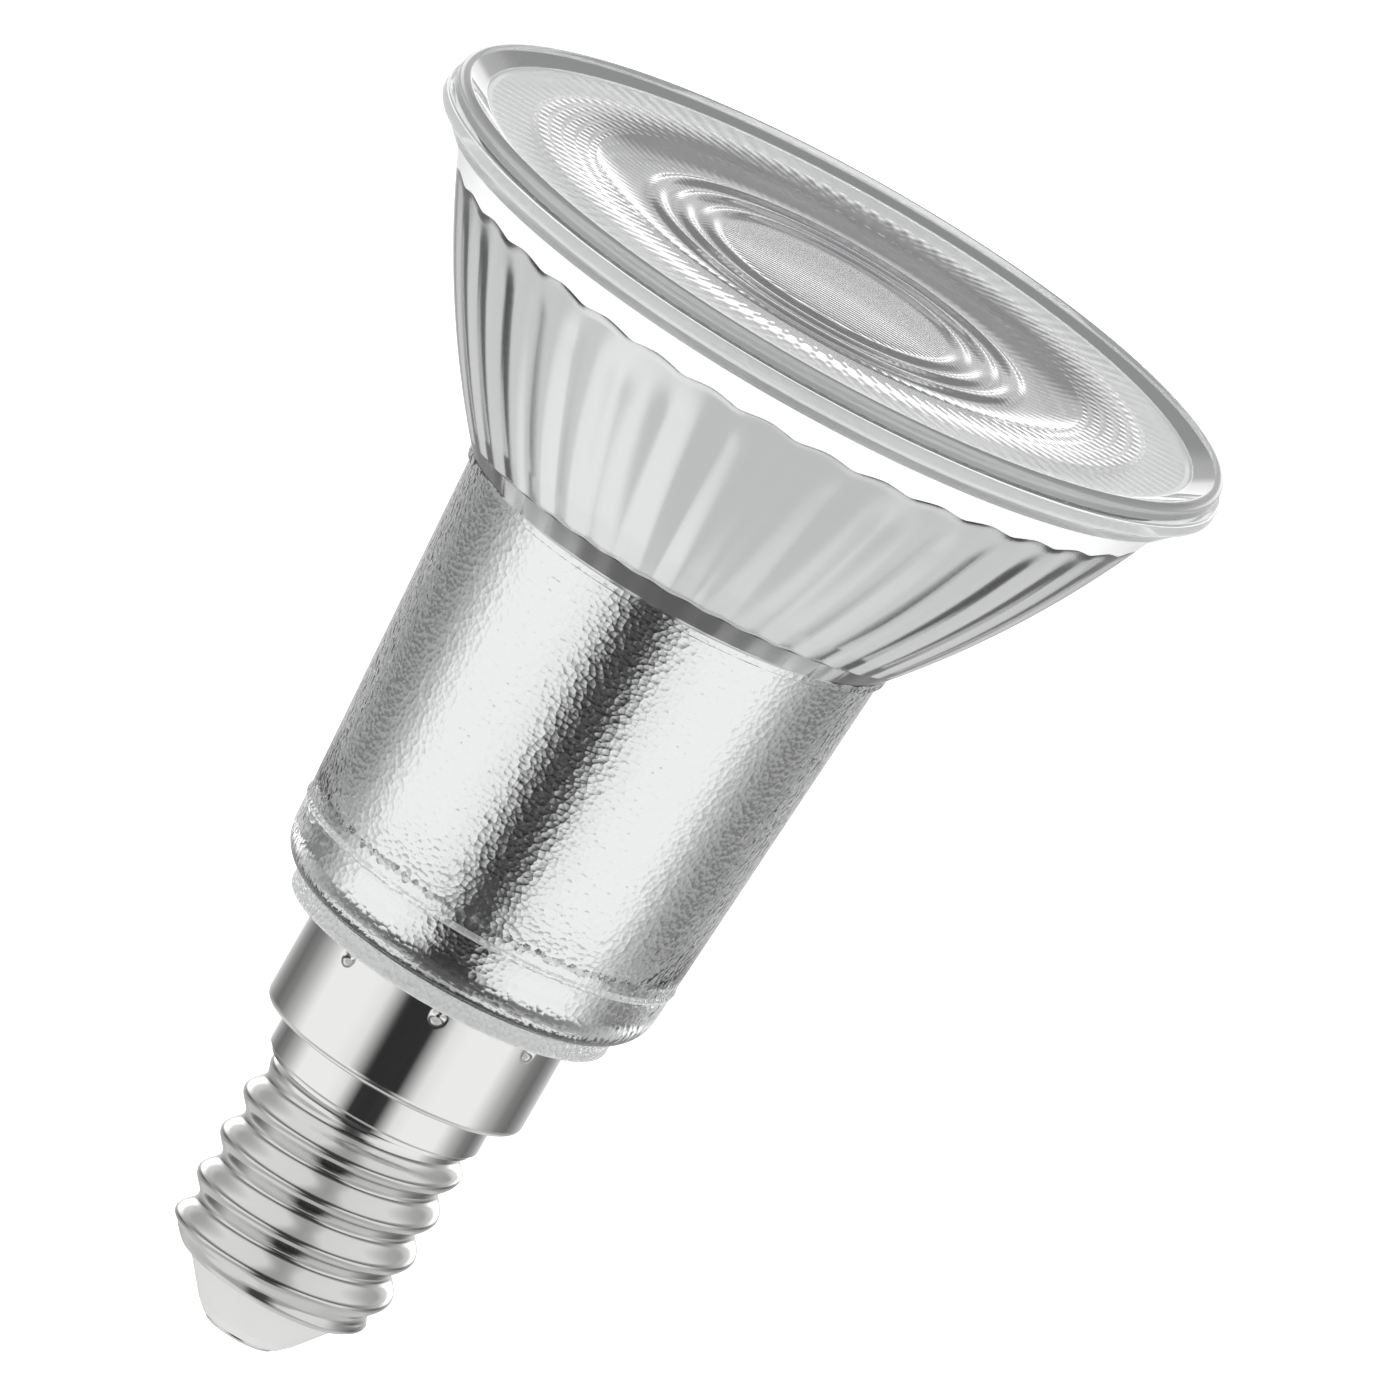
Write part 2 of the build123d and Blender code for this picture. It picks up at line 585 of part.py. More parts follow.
def inductor_winding():
    """Enamelled copper coil between the drum's cheeks."""
    inner, outer = INDUCTOR_CORE_D / 2 + FIT_GAP, INDUCTOR_D / 2 - LOOSE_GAP
    low, high = INDUCTOR_CHEEK + FIT_GAP, INDUCTOR_HEIGHT - INDUCTOR_CHEEK - FIT_GAP
    return inductor_turned((inner, low), (outer, low), (outer, high), (inner, high))


def chip_package(length, width, height, legs_per_side, z):
    """Flat package on the board's rear face, with its legs in two rows."""
    bevel = height / 4
    body = Pos(0, 0, bevel) * Box(width, length, height - bevel, align=BOTTOM)
    body = chamfer(body.faces().sort_by(Axis.Z)[-1].edges(), bevel)
    pitch = length / legs_per_side
    leg = Box(PACKAGE_LEG_REACH, pitch / 3, height / 2, align=BOTTOM)
    for side in (-1, 1):
        for index in range(legs_per_side):
            along = (index - (legs_per_side - 1) / 2) * pitch
            body += Pos(side * width / 2, along, 0) * leg
    return Pos(0, board_rear_y, z) * Rot(90, 0, 0) * body


def bridge_rectifier():
    """Rectifier in a four-legged package."""
    return chip_package(BRIDGE_LENGTH, BRIDGE_WIDTH, BRIDGE_HEIGHT, 2, bridge_z)


def driver_ic():
    """Driver circuit in an eight-legged package, above the rectifier."""
    z = bridge_z + (BRIDGE_LENGTH + IC_LENGTH) / 2 + COMPONENT_GAP
    return chip_package(IC_LENGTH, IC_WIDTH, IC_HEIGHT, 4, z)


def fusible_resistor():
    """Axial resistor inside the cap, its lower lead in the contact's bore, its upper one on the board."""
    radius, waist = RESISTOR_D / 2, RESISTOR_D / 2 - RESISTOR_WAIST
    low_z, high_z = resistor_z, resistor_z + RESISTOR_LENGTH
    end = RESISTOR_LENGTH / 5
    body = turned_polygon(
        (0, low_z), (radius, low_z), (radius, low_z + end), (waist, low_z + 2 * end),
        (waist, high_z - 2 * end), (radius, high_z - end), (radius, high_z), (0, high_z),
    )
    face_y = board_front_y + LEAD_D / 2 + FIT_GAP
    upper = wire(
        LEAD_D,
        (0, 0, high_z), (0, 0, board_z + face_y), (0, face_y, board_z), (0, face_y, board_z + LEAD_OVERLAP),
    )
    return body + rod(LEAD_D, CONTACT_THICK + FIT_GAP, low_z) + upper


def shell_wire():
    """Solid wire down the board's rear face to the inside of the shell's land."""
    y = board_rear_y - LEAD_D / 2 - FIT_GAP
    x = sqrt((land_bore_r - LEAD_D / 2 - FIT_GAP) ** 2 - y**2)
    return rod(LEAD_D, (land_z + skirt_z) / 2, board_z + LEAD_OVERLAP, x, y)


nodes = {
    "centre_contact": centre_contact(),
    "base_insulator": base_insulator(),
    "screw_shell": screw_shell(),
    "glass_reflector": glass_reflector(),
    "lens_seal": lens_seal(),
    "lens_cover": lens_cover(),
    "heat_spreader": heat_spreader(),
    "thermal_pad": thermal_pad(),
    "led_board": led_board(),
    "led_chips": led_chips(),
    "board_screws": board_screws(),
    "led_leads": led_leads(),
    "driver_housing": driver_housing(),
    "driver_board": driver_board(),
    "input_capacitor": capacitor(INPUT_CAP_D, INPUT_CAP_LENGTH, -INPUT_CAP_OFFSET),
    "output_capacitor": capacitor(OUTPUT_CAP_D, OUTPUT_CAP_LENGTH, OUTPUT_CAP_OFFSET),
    "inductor_core": inductor_core(),
    "inductor_winding": inductor_winding(),
    "bridge_rectifier": bridge_rectifier(),
    "driver_ic": driver_ic(),
    "fusible_resistor": fusible_resistor(),
    "shell_wire": shell_wire(),
}

os.makedirs("parts", exist_ok=True)
for name, shape in nodes.items():
    export_step(shape, f"parts/{name}.step")
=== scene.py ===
from math import asin, cos, degrees, hypot, pi, radians, sin, sqrt

import bpy
from bpy.props import FloatProperty, FloatVectorProperty, IntProperty, PointerProperty
from bpy.types import Operator, Panel, PropertyGroup
from mathutils import Matrix, Vector


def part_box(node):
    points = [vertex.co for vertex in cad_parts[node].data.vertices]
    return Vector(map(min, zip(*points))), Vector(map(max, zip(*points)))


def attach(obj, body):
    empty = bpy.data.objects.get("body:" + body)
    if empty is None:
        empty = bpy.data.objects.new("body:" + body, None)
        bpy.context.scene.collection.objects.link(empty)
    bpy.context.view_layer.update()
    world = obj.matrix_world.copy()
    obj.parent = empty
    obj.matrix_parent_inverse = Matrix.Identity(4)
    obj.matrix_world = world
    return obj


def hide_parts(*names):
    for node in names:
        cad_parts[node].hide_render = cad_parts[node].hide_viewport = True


bl_info = {
    "name": "Reflector Lamp",
    "version": (1, 0, 0),
    "blender": (4, 5, 0),
    "location": "View3D > Sidebar > Lamp",
    "description": "Dresses an LED reflector lamp with glass, mirror coating, lens and nickel cap",
    "category": "Object",
}

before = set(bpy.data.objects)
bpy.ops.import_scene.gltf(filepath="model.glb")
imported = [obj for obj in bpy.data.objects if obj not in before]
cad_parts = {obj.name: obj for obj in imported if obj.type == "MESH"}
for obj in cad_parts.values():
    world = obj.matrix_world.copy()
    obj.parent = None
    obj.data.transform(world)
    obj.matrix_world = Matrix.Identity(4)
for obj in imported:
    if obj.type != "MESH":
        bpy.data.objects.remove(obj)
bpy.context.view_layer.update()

MM = 0.001
BODY = "root"
SPREADER_FLANGE = 1.0 * MM

# Rows and columns of the turned meshes
FLUTE_COLUMNS = 10
FLUTE_ROWS = 20
SCALLOP_ROWS = 4
BOWL_ROWS = 20
LEDGE_ROWS = 6
CAP_COLUMNS = 384
THREAD_ROWS = 96
SKIRT_ROWS = 40
LENS_COLUMNS = 288
POLE_R = 0.02 * MM

# The thread deepens over the mouth's round and its first rows, and fades out in its last rows
MOUTH_SHARES = (0.0, 0.1, 0.25, 0.4, 0.55)
THREAD_FIRST_SHARE = 0.6
RUN_IN_ROWS = 8
RUN_OUT_ROWS = 10
CRIMP_SOFTNESS = 0.1

# Powers under 1 make a lens profile steeper where it begins
COVE_POWER = 0.8
CENTRE_POWER = 0.7

# Values of the surface textures
PEEL_DEPTH = 0.1 * MM
PEEL_STRENGTH = 0.13
SWELL_SCALE = 0.35
SWELL_WEIGHT = 0.8
NOISE_RANGE = (0.3, 0.7)
LEAST_ROUGHNESS = 0.02
DRAWN_LINES = 2600.0
NICKEL_ROUGHNESS = (0.04, 0.12)
ROLLED_ROUGHNESS = 0.05
LENS_DEPTH = 0.03 * MM
LENS_STRENGTH = 0.5

# Brightness of the studio round the lamp, as stops of (degrees from the front, brightness)
FLOOR_ROUND = ((-180, 0.85), (-60, 0.85), (-40, 0.74), (-28, 0.56), (60, 0.56), (90, 0.72), (180, 0.72))
UNDER = ((0, 0.06), (12, 0.08), (24, 0.45), (60, 0.5), (90, 0.6), (180, 0.68))
LOW_SIDES = (
    (0, 0.06), (8, 0.1), (16, 0.5), (24, 0.86), (44, 0.92), (82, 0.92), (100, 0.5), (116, 0.36), (130, 0.37),
    (146, 0.42), (162, 0.52), (180, 0.6),
)
SIDES = (
    (0, 0.03), (14, 0.03), (20, 0.33), (30, 0.82), (44, 0.92), (82, 0.92), (100, 0.48), (116, 0.23),
    (130, 0.16), (144, 0.3), (156, 0.5), (168, 0.72), (180, 0.75),
)
HORIZON = ((0, 0.07), (34, 0.07), (44, 0.15), (84, 0.22), (104, 0.34), (130, 0.6), (150, 1.8), (180, 1.8))
RAISED = ((0, 0.08), (14, 0.1), (28, 0.35), (84, 0.4), (104, 0.4), (130, 0.6), (150, 0.85), (180, 0.8))
ABOVE = ((0, 0.4), (14, 0.5), (30, 0.85), (90, 0.9), (120, 0.5), (180, 0.3))

# The bands above the floor, each with the heights of the direction between which it takes over
BANDS = (
    (-0.85, -0.78, UNDER),
    (-0.52, -0.44, LOW_SIDES),
    (-0.32, -0.27, SIDES),
    (-0.12, 0.0, HORIZON),
    (0.13, 0.2, RAISED),
    (0.28, 0.4, ABOVE),
)

FLOOR_HALF = 3.0
SENSOR_WIDTH = 36.0
CLIP_NEAR, CLIP_FAR = 0.01, 20.0


def reach(node):
    """Radius inside a CAD node's box about the lamp's axis, and its lowest and highest z."""
    low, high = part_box(node)
    return min(high.x, high.y), low.z, high.z


GLASS_R, GLASS_LOW, GLASS_HIGH = reach("glass_reflector")
SHELL_R, SHELL_LOW, SHELL_HIGH = reach("screw_shell")
LENS_R, LENS_LOW, LENS_HIGH = reach("lens_cover")
SEAT_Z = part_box("heat_spreader")[1].z - SPREADER_FLANGE


def length(name, description, millimetres):
    """A length property, given in millimetres."""
    return FloatProperty(
        name=name,
        description=description,
        default=millimetres * MM,
        subtype="DISTANCE",
        unit="LENGTH",
        precision=5,
    )


def turned(name, description, angle):
    """An angle property, given in degrees."""
    return FloatProperty(name=name, description=description, default=radians(angle), subtype="ANGLE")


def how_many(name, description, number, least=1):
    """A property that counts like things."""
    return IntProperty(name=name, description=description, default=number, min=least)


def colour(name, description, *rgb):
    """A colour property."""
    return FloatVectorProperty(
        name=name, description=description, default=rgb, size=3, subtype="COLOR", min=0.0, max=1.0
    )


def share(name, description, value):
    """A property from 0 to 1."""
    return FloatProperty(
        name=name, description=description, default=value, min=0.0, max=1.0, subtype="FACTOR"
    )


class GlassSizes(PropertyGroup):
    """Sizes of the pressed glass body."""

    collar_r: length("Collar radius", "Outer radius of the collar above the cap", 10.55)
    collar_height: length("Collar height", "Height of the collar's upright edge", 1.25)
    collar_edge: length("Collar edge", "Round on the collar's lower edge", 0.3)
    shoulder: length("Shoulder", "Radius of the round between collar and neck", 2.6)
    floor: length("Floor", "Thickness of the glass above the cap", 1.8)
    neck_low_r: length("Neck foot", "Outer radius at the neck's foot", 12.15)
    neck_top_r: length("Neck top", "Outer radius at the neck's upper end", 13.7)
    neck_height: length("Neck height", "From the collar's lower face to the bowl", 27.9)
    neck_wall: length("Neck wall", "Thickness of the neck's wall", 1.9)
    bead_height: length("Bead height", "From the collar's lower face to the bead line", 5.4)
    bead_width: length("Bead width", "Width of the bead line round the neck", 0.5)
    bead_rise: length("Bead rise", "How far the bead line stands out", 0.1)
    seat: length("Seat", "Width of the seat at the bowl's foot", 0.9)
    bowl_low_r: length("Bowl foot", "Outer radius at the bowl's foot", 13.975)
    bowl_edge: length("Bowl edge", "Height of the upright edge at the bowl's foot", 0.5)
    bowl_height: length("Bowl height", "From the upright edge to the rim's underside", 15.6)
    bowl_bulge: length("Bowl bulge", "How far the bowl's line bulges outwards", 0.67)
    bowl_wall: length("Bowl wall", "Thickness of the bowl's wall", 1.8)
    rim_width: length("Rim width", "From the rim's edge in to its bore", 2.5)
    rim_overhang: length("Rim overhang", "From the rim's edge in to the bowl's upper end", 2.33)
    rim_edge: length("Rim edge", "Height of the rim's rounded edge", 1.0)
    rim_low_round: length("Rim lower round", "Round on the rim's lower edge", 0.35)
    rim_top_round: length("Rim upper round", "Round on the rim's upper edge", 0.2)
    facet_band: length("Facet band", "Height of the flat facets at the bowl's foot", 2.0)
    scallop_drop: length("Scallop drop", "From the bowl's upper end down to the flutes' tops", 0.3)
    flute_depth: length("Flute depth", "Depth of the flutes at their upper ends", 0.16)
    scallop_depth: length("Scallop depth", "How far the flutes' cusps dip at the scalloped edge", 0.35)
    flute_crown: share("Flute crown", "How round the flutes' middles are, against their straight sides", 0.3)
    flute_count: how_many("Flutes", "Flutes round the bowl", 36, 3)
    flute_angle: turned("Flute angle", "Direction of one flute's middle", -88.5)


class CapSizes(PropertyGroup):
    """Sizes of the screw cap."""

    sheet: length("Sheet", "Thickness of the drawn metal", 0.3)
    mouth_r: length("Mouth radius", "Radius of the opening round the insulator", 5.3)
    mouth_round: length("Mouth round", "Round on the shell's lower edge", 0.5)
    root_r: length("Thread root", "Radius at the thread's roots", 6.1)
    crest_r: length("Thread crest", "Radius over the thread's crests", 6.9)
    pitch: length("Thread pitch", "Rise of the thread in one turn", 2.822)
    crest_z: length("Crest height", "Height of the first crest on the +X side", 3.28)
    thread_start: length("Thread start", "From the shell's lower edge up to the thread", 0.8)
    land_r: length("Land radius", "Radius of the plain land above the thread", 6.95)
    land_height: length("Land height", "Height of the plain land", 2.7)
    land_start: length("Land start", "From the land down to the thread's upper end", 0.2)
    land_rise: length("Land rise", "Height over which the thread's root widens to the land", 0.6)
    skirt_height: length("Skirt height", "Height of the skirt", 6.55)
    skirt_edge: length("Skirt edge", "Round on the skirt's lower edge", 0.4)
    crimp_drop: length("Crimp drop", "From the skirt's edge down to the crimps", 0.8)
    crimp_r: length("Crimp radius", "Radius of one crimp", 0.5)
    crimp_depth: length("Crimp depth", "Depth of one crimp", 0.4)
    crimp_count: how_many("Crimps", "Crimps round the skirt", 8)
    crimp_angle: turned("Crimp angle", "Direction of the first crimp", -83.2)


class LensSizes(PropertyGroup):
    """Sizes of the front lens."""

    edge_height: length("Edge height", "From the seal to the crest", 0.95)
    crest: length("Crest", "Width of the raised crest", 0.9)
    face_drop: length("Face drop", "From the crest down to the face", 0.6)
    face_r: length("Face radius", "Radius of the flat face and of the plug below it", 23.1)
    fillet: length("Fillet", "Round between the crest and the face", 0.3)
    ring_r: length("Outer rows", "Radius where the outer rows of lenses begin", 20.4)
    cove_outer_r: length("Cove outside", "Outer radius of the smooth cove", 16.2)
    cove_inner_r: length("Cove inside", "Inner radius of the smooth cove", 12.8)
    cove_depth: length("Cove depth", "Depth of the cove", 0.55)
    centre_r: length("Centre radius", "Radius of the raised centre", 7.4)
    centre_rise: length("Centre rise", "Rise of the centre above the rings", 0.25)
    step_rise: length("Step rise", "Height of one ring's step", 0.22)
    row_pitch: length("Row pitch", "Distance between two like rows of tiny lenses", 1.76)
    grid_pitch: length("Grid pitch", "Width of one cell of the centre's grid", 0.6)
    rib_count: how_many("Ribs", "Tiny lenses in one row", 116)
    step_count: how_many("Steps", "Rings between the cove and the centre", 3)


class Finishes(PropertyGroup):
    """Colours and surface values that a user would change."""

    glass: colour("Glass", "Tint of the pressed glass", 0.97, 0.98, 0.98)
    mirror: colour("Mirror", "Colour of the coating inside the glass", 0.95, 0.95, 0.95)
    # The ledge colour also tints the ledge's painted glow.
    ledge: colour("Ledge", "Colour of the uncoated ledge under the rim", 0.93, 0.93, 0.93)
    nickel: colour("Nickel", "Colour of the cap's plating", 0.90, 0.90, 0.89)
    # The rolled colour is darker partly from wear and partly as painted shade of the thread's hollows.
    rolled: colour("Rolled nickel", "Colour of the plating on the rolled thread", 0.74, 0.74, 0.73)
    insulator: colour("Insulator", "Colour of the cap's insulator", 0.55, 0.55, 0.54)
    lens: colour("Lens", "Tint of the front lens", 0.92, 0.92, 0.93)
    peel: length("Peel size", "Width of one cell of the neck's orange-peel surface", 0.34)


class StageSizes(PropertyGroup):
    """Place and view of the camera."""

    distance: length("Distance", "From the camera to the lamp", 2500.0)
    elevation: turned("Elevation", "Camera above the horizon", 13.667)
    roll: turned("Roll", "Turn of the picture about the line of sight", 29.815)
    span: length("Span", "Width of the picture at the lamp", 81.855)
    aim_z: length("Aim height", "Height on the lamp's axis that the camera looks at", 46.934)
    aim_side: length("Aim side", "Shift of the aim to the picture's unturned right", 5.057)


SETTINGS = {
    "lamp_glass": GlassSizes,
    "lamp_cap": CapSizes,
    "lamp_lens": LensSizes,
    "lamp_finish": Finishes,
    "lamp_stage": StageSizes,
}


# Meshes


def arc(centre, radius, first, last, steps):
    """Points at even angles in degrees along an arc of a turned outline."""
    angles = [radians(first + (last - first) * i / steps) for i in range(steps + 1)]
    return [(centre[0] + radius * cos(a), centre[1] + radius * sin(a)) for a in angles]


def between(start, end, steps):
    """Points at even steps on a straight line, with both ends."""
    return [
        (start[0] + (end[0] - start[0]) * i / steps, start[1] + (end[1] - start[1]) * i / steps)
        for i in range(steps + 1)
    ]


def bulge_arc(start, end, bulge):
    """Chord, radius and direction of the arc that bulges to the right of the way from start to end."""
    chord = hypot(end[0] - start[0], end[1] - start[1])
    radius = (chord / 2) ** 2 / (2 * bulge) + bulge / 2
    along = ((end[0] - start[0]) / chord, (end[1] - start[1]) / chord)
    return chord, radius, along


def bulged(start, end, bulge, steps):
    """Points on such an arc."""
    chord, radius, along = bulge_arc(start, end, bulge)
    left = (-along[1], along[0])
    half = asin(chord / 2 / radius)
    points = []
    for i in range(steps + 1):
        a = -half + 2 * half * i / steps
        forward = chord / 2 + radius * sin(a)
        side = radius * (1 - cos(half)) - radius * (1 - cos(a))
        points.append(
            (start[0] + along[0] * forward - left[0] * side, start[1] + along[1] * forward - left[1] * side)
        )
    return points


def turned_mesh(name, outline, columns, closed):
    """Mesh of an outline of (r, z) turned about Z.

    A closed outline joins its last row to its first. An open one starts and ends close to the axis, where a
    small face closes each pole.
    """
    rows = len(outline)
    turns = [2 * pi * c / columns for c in range(columns)]
    points = [(r * cos(a), r * sin(a), z) for r, z in outline for a in turns]
    faces = []
    for row in range(rows if closed else rows - 1):
        upper = (row + 1) % rows
        for c in range(columns):
            d = (c + 1) % columns
            faces.append((row * columns + c, row * columns + d, upper * columns + d, upper * columns + c))
    if not closed:
        faces.append(tuple(reversed(range(columns))))
        faces.append(tuple(range((rows - 1) * columns, rows * columns)))
    mesh = bpy.data.meshes.new(name)
    mesh.from_pydata(points, [], faces)
    return mesh


def row_values(mesh, name, domain, values, columns):
    """Stores one number for each point or face of a turned mesh, given row by row."""
    data = mesh.attributes.new(name, "FLOAT", domain).data
    data.foreach_set("value", [value for value in values for _ in range(columns)])


def add_piece(mesh, node, sharp):
    """Adds a finished mesh as a piece, which stands for a CAD node and has a slot for its finish."""
    mesh.shade_smooth()
    mesh.set_sharp_from_angle(angle=radians(sharp))
    piece = bpy.data.objects.new(mesh.name, mesh)
    bpy.context.scene.collection.objects.link(piece)
    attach(piece, BODY)
    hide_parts(node)


# Geometry node trees


class Tree:
    """Builder for a node tree: adds nodes and joins their sockets."""

    def __init__(self, tree):
        self.tree = tree

    def add(self, kind, **settings):
        """New node with its settings."""
        node = self.tree.nodes.new(kind)
        for key, value in settings.items():
            setattr(node, key, value)
        return node

    def put(self, value, socket):
        """Links a socket, or sets a plain value."""
        if isinstance(value, bpy.types.NodeSocket):
            self.tree.links.new(value, socket)
        else:
            socket.default_value = value

    def math(self, operation, *values):
        """Result of one step of arithmetic."""
        node = self.add("ShaderNodeMath", operation=operation)
        for value, socket in zip(values, node.inputs):
            self.put(value, socket)
        return node.outputs[0]

    def product(self, first, *others):
        """All the values multiplied."""
        for other in others:
            first = self.math("MULTIPLY", first, other)
        return first

    def diagonal(self, first, second):
        """Root of the sum of two squares."""
        squares = self.math("ADD", self.product(first, first), self.product(second, second))
        return self.math("SQRT", squares)

    def mix(self, factor, low, high):
        """Value between two, by a factor."""
        return self.math("ADD", low, self.math("MULTIPLY", factor, self.math("SUBTRACT", high, low)))

    def parts(self, vector):
        """The three numbers of a vector."""
        node = self.add("ShaderNodeSeparateXYZ")
        self.put(vector, node.inputs[0])
        return node.outputs


def press_tree(name, sizes):
    """Start of a geometry tree that moves points: its builder and inputs, the points' angle and height."""
    tree = bpy.data.node_groups.new(name, "GeometryNodeTree")
    tree.interface.new_socket("Geometry", in_out="INPUT", socket_type="NodeSocketGeometry")
    for label in sizes:
        tree.interface.new_socket(label, in_out="INPUT", socket_type="NodeSocketFloat")
    tree.interface.new_socket("Geometry", in_out="OUTPUT", socket_type="NodeSocketGeometry")
    build = Tree(tree)
    inputs = build.add("NodeGroupInput").outputs
    x, y, z = build.parts(build.add("GeometryNodeInputPosition").outputs[0])
    return build, inputs, build.math("ARCTAN2", y, x), z


def named(build, name):
    """A number stored for each point or face."""
    node = build.add("GeometryNodeInputNamedAttribute", data_type="FLOAT")
    node.inputs["Name"].default_value = name
    return node.outputs["Attribute"]


def step_phase(build, angle, first, count):
    """Place in one of so many equal steps round the axis, from 0 to 1 with its middle at 0.5."""
    turn = build.math("DIVIDE", build.math("SUBTRACT", angle, first), 2 * pi)
    return build.math("FRACT", build.math("ADD", build.math("MULTIPLY", turn, count), 0.5))


def end_press(build, inputs, angle, outward, upward, materials):
    """End of such a tree: moves the points outwards and upwards, then gives each face its finish."""
    offset = build.add("ShaderNodeCombineXYZ")
    build.put(build.math("MULTIPLY", outward, build.math("COSINE", angle)), offset.inputs[0])
    build.put(build.math("MULTIPLY", outward, build.math("SINE", angle)), offset.inputs[1])
    build.put(upward, offset.inputs[2])
    move = build.add("GeometryNodeSetPosition")
    build.put(inputs["Geometry"], move.inputs["Geometry"])
    build.put(offset.outputs[0], move.inputs["Offset"])
    real = build.add("GeometryNodeRealizeInstances")
    build.put(move.outputs[0], real.inputs[0])
    result = real.outputs[0]
    for index, material in enumerate(materials):
        dressed = build.add("GeometryNodeSetMaterial")
        build.put(result, dressed.inputs["Geometry"])
        if index:
            chosen = build.math("COMPARE", named(build, "finish"), float(index), 0.5)
            build.put(chosen, dressed.inputs["Selection"])
        dressed.inputs["Material"].default_value = material
        result = dressed.outputs[0]
    build.put(result, build.add("NodeGroupOutput").inputs[0])
    return build.tree


def flute_tree(materials):
    """Presses flutes into a turned wall, each with a round crown and straight sides that end in cusps."""
    build, inputs, angle, _ = press_tree("press_flutes", ("Count", "First angle", "Depth", "Drop", "Crown"))
    phase = step_phase(build, angle, inputs["First angle"], inputs["Count"])
    across = build.math("SUBTRACT", build.math("MULTIPLY", phase, 2.0), 1.0)
    crown = inputs["Crown"]

    def fall(way):
        return build.math("SUBTRACT", build.diagonal(way, crown), crown)

    lobe = build.math("MULTIPLY", build.math("DIVIDE", fall(across), fall(1.0)), -1.0)
    inward = build.product(lobe, inputs["Depth"], named(build, "flute_share"))
    drop = build.product(lobe, inputs["Drop"], named(build, "flute_drop"))
    return end_press(build, inputs, angle, inward, drop, materials)


def thread_tree(material):
    """Rolls a right-hand knuckle thread and presses round crimps into a turned shell."""
    sizes = (
        "Pitch", "Crest height", "Ridge",
        "Crimps", "Crimp angle", "Crimp height", "Crimp radius", "Crimp depth", "Skirt radius",
    )
    build, inputs, angle, z = press_tree("roll_thread", sizes)
    climb = build.math("MULTIPLY", build.math("DIVIDE", angle, 2 * pi), inputs["Pitch"])
    rise = build.math("SUBTRACT", build.math("SUBTRACT", z, inputs["Crest height"]), climb)
    wave = build.math("COSINE", build.math("MULTIPLY", build.math("DIVIDE", rise, inputs["Pitch"]), 2 * pi))
    ridge = build.product(build.math("ADD", wave, 1.0), 0.5, inputs["Ridge"])
    rolled = build.math("MULTIPLY", ridge, named(build, "thread_share"))
    phase = step_phase(build, angle, inputs["Crimp angle"], inputs["Crimps"])
    aside = build.math("DIVIDE", build.math("SUBTRACT", phase, 0.5), inputs["Crimps"])
    aside = build.product(aside, 2 * pi, inputs["Skirt radius"])
    above = build.math("SUBTRACT", z, inputs["Crimp height"])
    away = build.diagonal(aside, above)
    near = build.math("SUBTRACT", 1.0, build.math("DIVIDE", away, inputs["Crimp radius"]))
    near = build.math("SMOOTH_MAX", near, 0.0, CRIMP_SOFTNESS)
    dent = build.product(near, inputs["Crimp depth"], named(build, "crimp_share"))
    return end_press(build, inputs, angle, build.math("SUBTRACT", rolled, dent), 0.0, [material])


def pressed(mesh, tree, values):
    """Plain mesh that results from a geometry tree with its inputs set by name."""
    holder = bpy.data.objects.new(mesh.name + "_blank", mesh)
    bpy.context.scene.collection.objects.link(holder)
    modifier = holder.modifiers.new(tree.name, "NODES")
    modifier.node_group = tree
    for item in tree.interface.items_tree:
        if item.in_out == "INPUT" and item.name in values:
            modifier[item.identifier] = float(values[item.name])
    depsgraph = bpy.context.evaluated_depsgraph_get()
    result = bpy.data.meshes.new_from_object(holder.evaluated_get(depsgraph))
    name = mesh.name
    holder.modifiers.remove(modifier)
    bpy.data.objects.remove(holder)
    bpy.data.meshes.remove(mesh)
    result.name = name
    return result


# Materials


def finish_tree(name):
    """New material with its Principled shader: the material, its builder and the shader."""
    made = bpy.data.materials.new(name)
    made.use_nodes = True
    build = Tree(made.node_tree)
    shader = made.node_tree.nodes["Principled BSDF"]
    return made, build, shader


def set_shader(shader, **values):
    """Sets the shader's sockets, with underscores for the spaces in their names."""
    for key, value in values.items():
        shader.inputs[key.replace("_", " ")].default_value = value


def own_place(build):
    """The piece's own coordinates."""
    return build.add("ShaderNodeTexCoord").outputs["Object"]


def effect(name, inputs, output, make):
    """Node group, made once, of an effect that several materials share, on the vector given to it."""
    group = bpy.data.node_groups.get(name)
    if not group:
        group = bpy.data.node_groups.new(name, "ShaderNodeTree")
        group.interface.new_socket("Vector", in_out="INPUT", socket_type="NodeSocketVector")
        for label in inputs:
            group.interface.new_socket(label, in_out="INPUT", socket_type="NodeSocketFloat")
        group.interface.new_socket(output, in_out="OUTPUT", socket_type="NodeSocketFloat")
        build = Tree(group)
        result = make(build, build.add("NodeGroupInput").outputs)
        build.put(result, build.add("NodeGroupOutput").inputs[0])
    return group


def use_effect(build, group, values, stretch=(1.0, 1.0, 1.0)):
    """Output of a shared effect on the piece's own coordinates, stretched along the axes."""
    mapping = build.add("ShaderNodeMapping")
    mapping.inputs["Scale"].default_value = stretch
    build.put(own_place(build), mapping.inputs["Vector"])
    node = build.add("ShaderNodeGroup", node_tree=group)
    build.put(mapping.outputs[0], node.inputs["Vector"])
    for label, value in values.items():
        node.inputs[label].default_value = value
    return node.outputs[0]


def noise(build, vector, scale, detail):
    """Soft noise from 0 to 1."""
    node = build.add("ShaderNodeTexNoise")
    build.put(vector, node.inputs["Vector"])
    build.put(scale, node.inputs["Scale"])
    node.inputs["Detail"].default_value = detail
    return node.outputs[0]


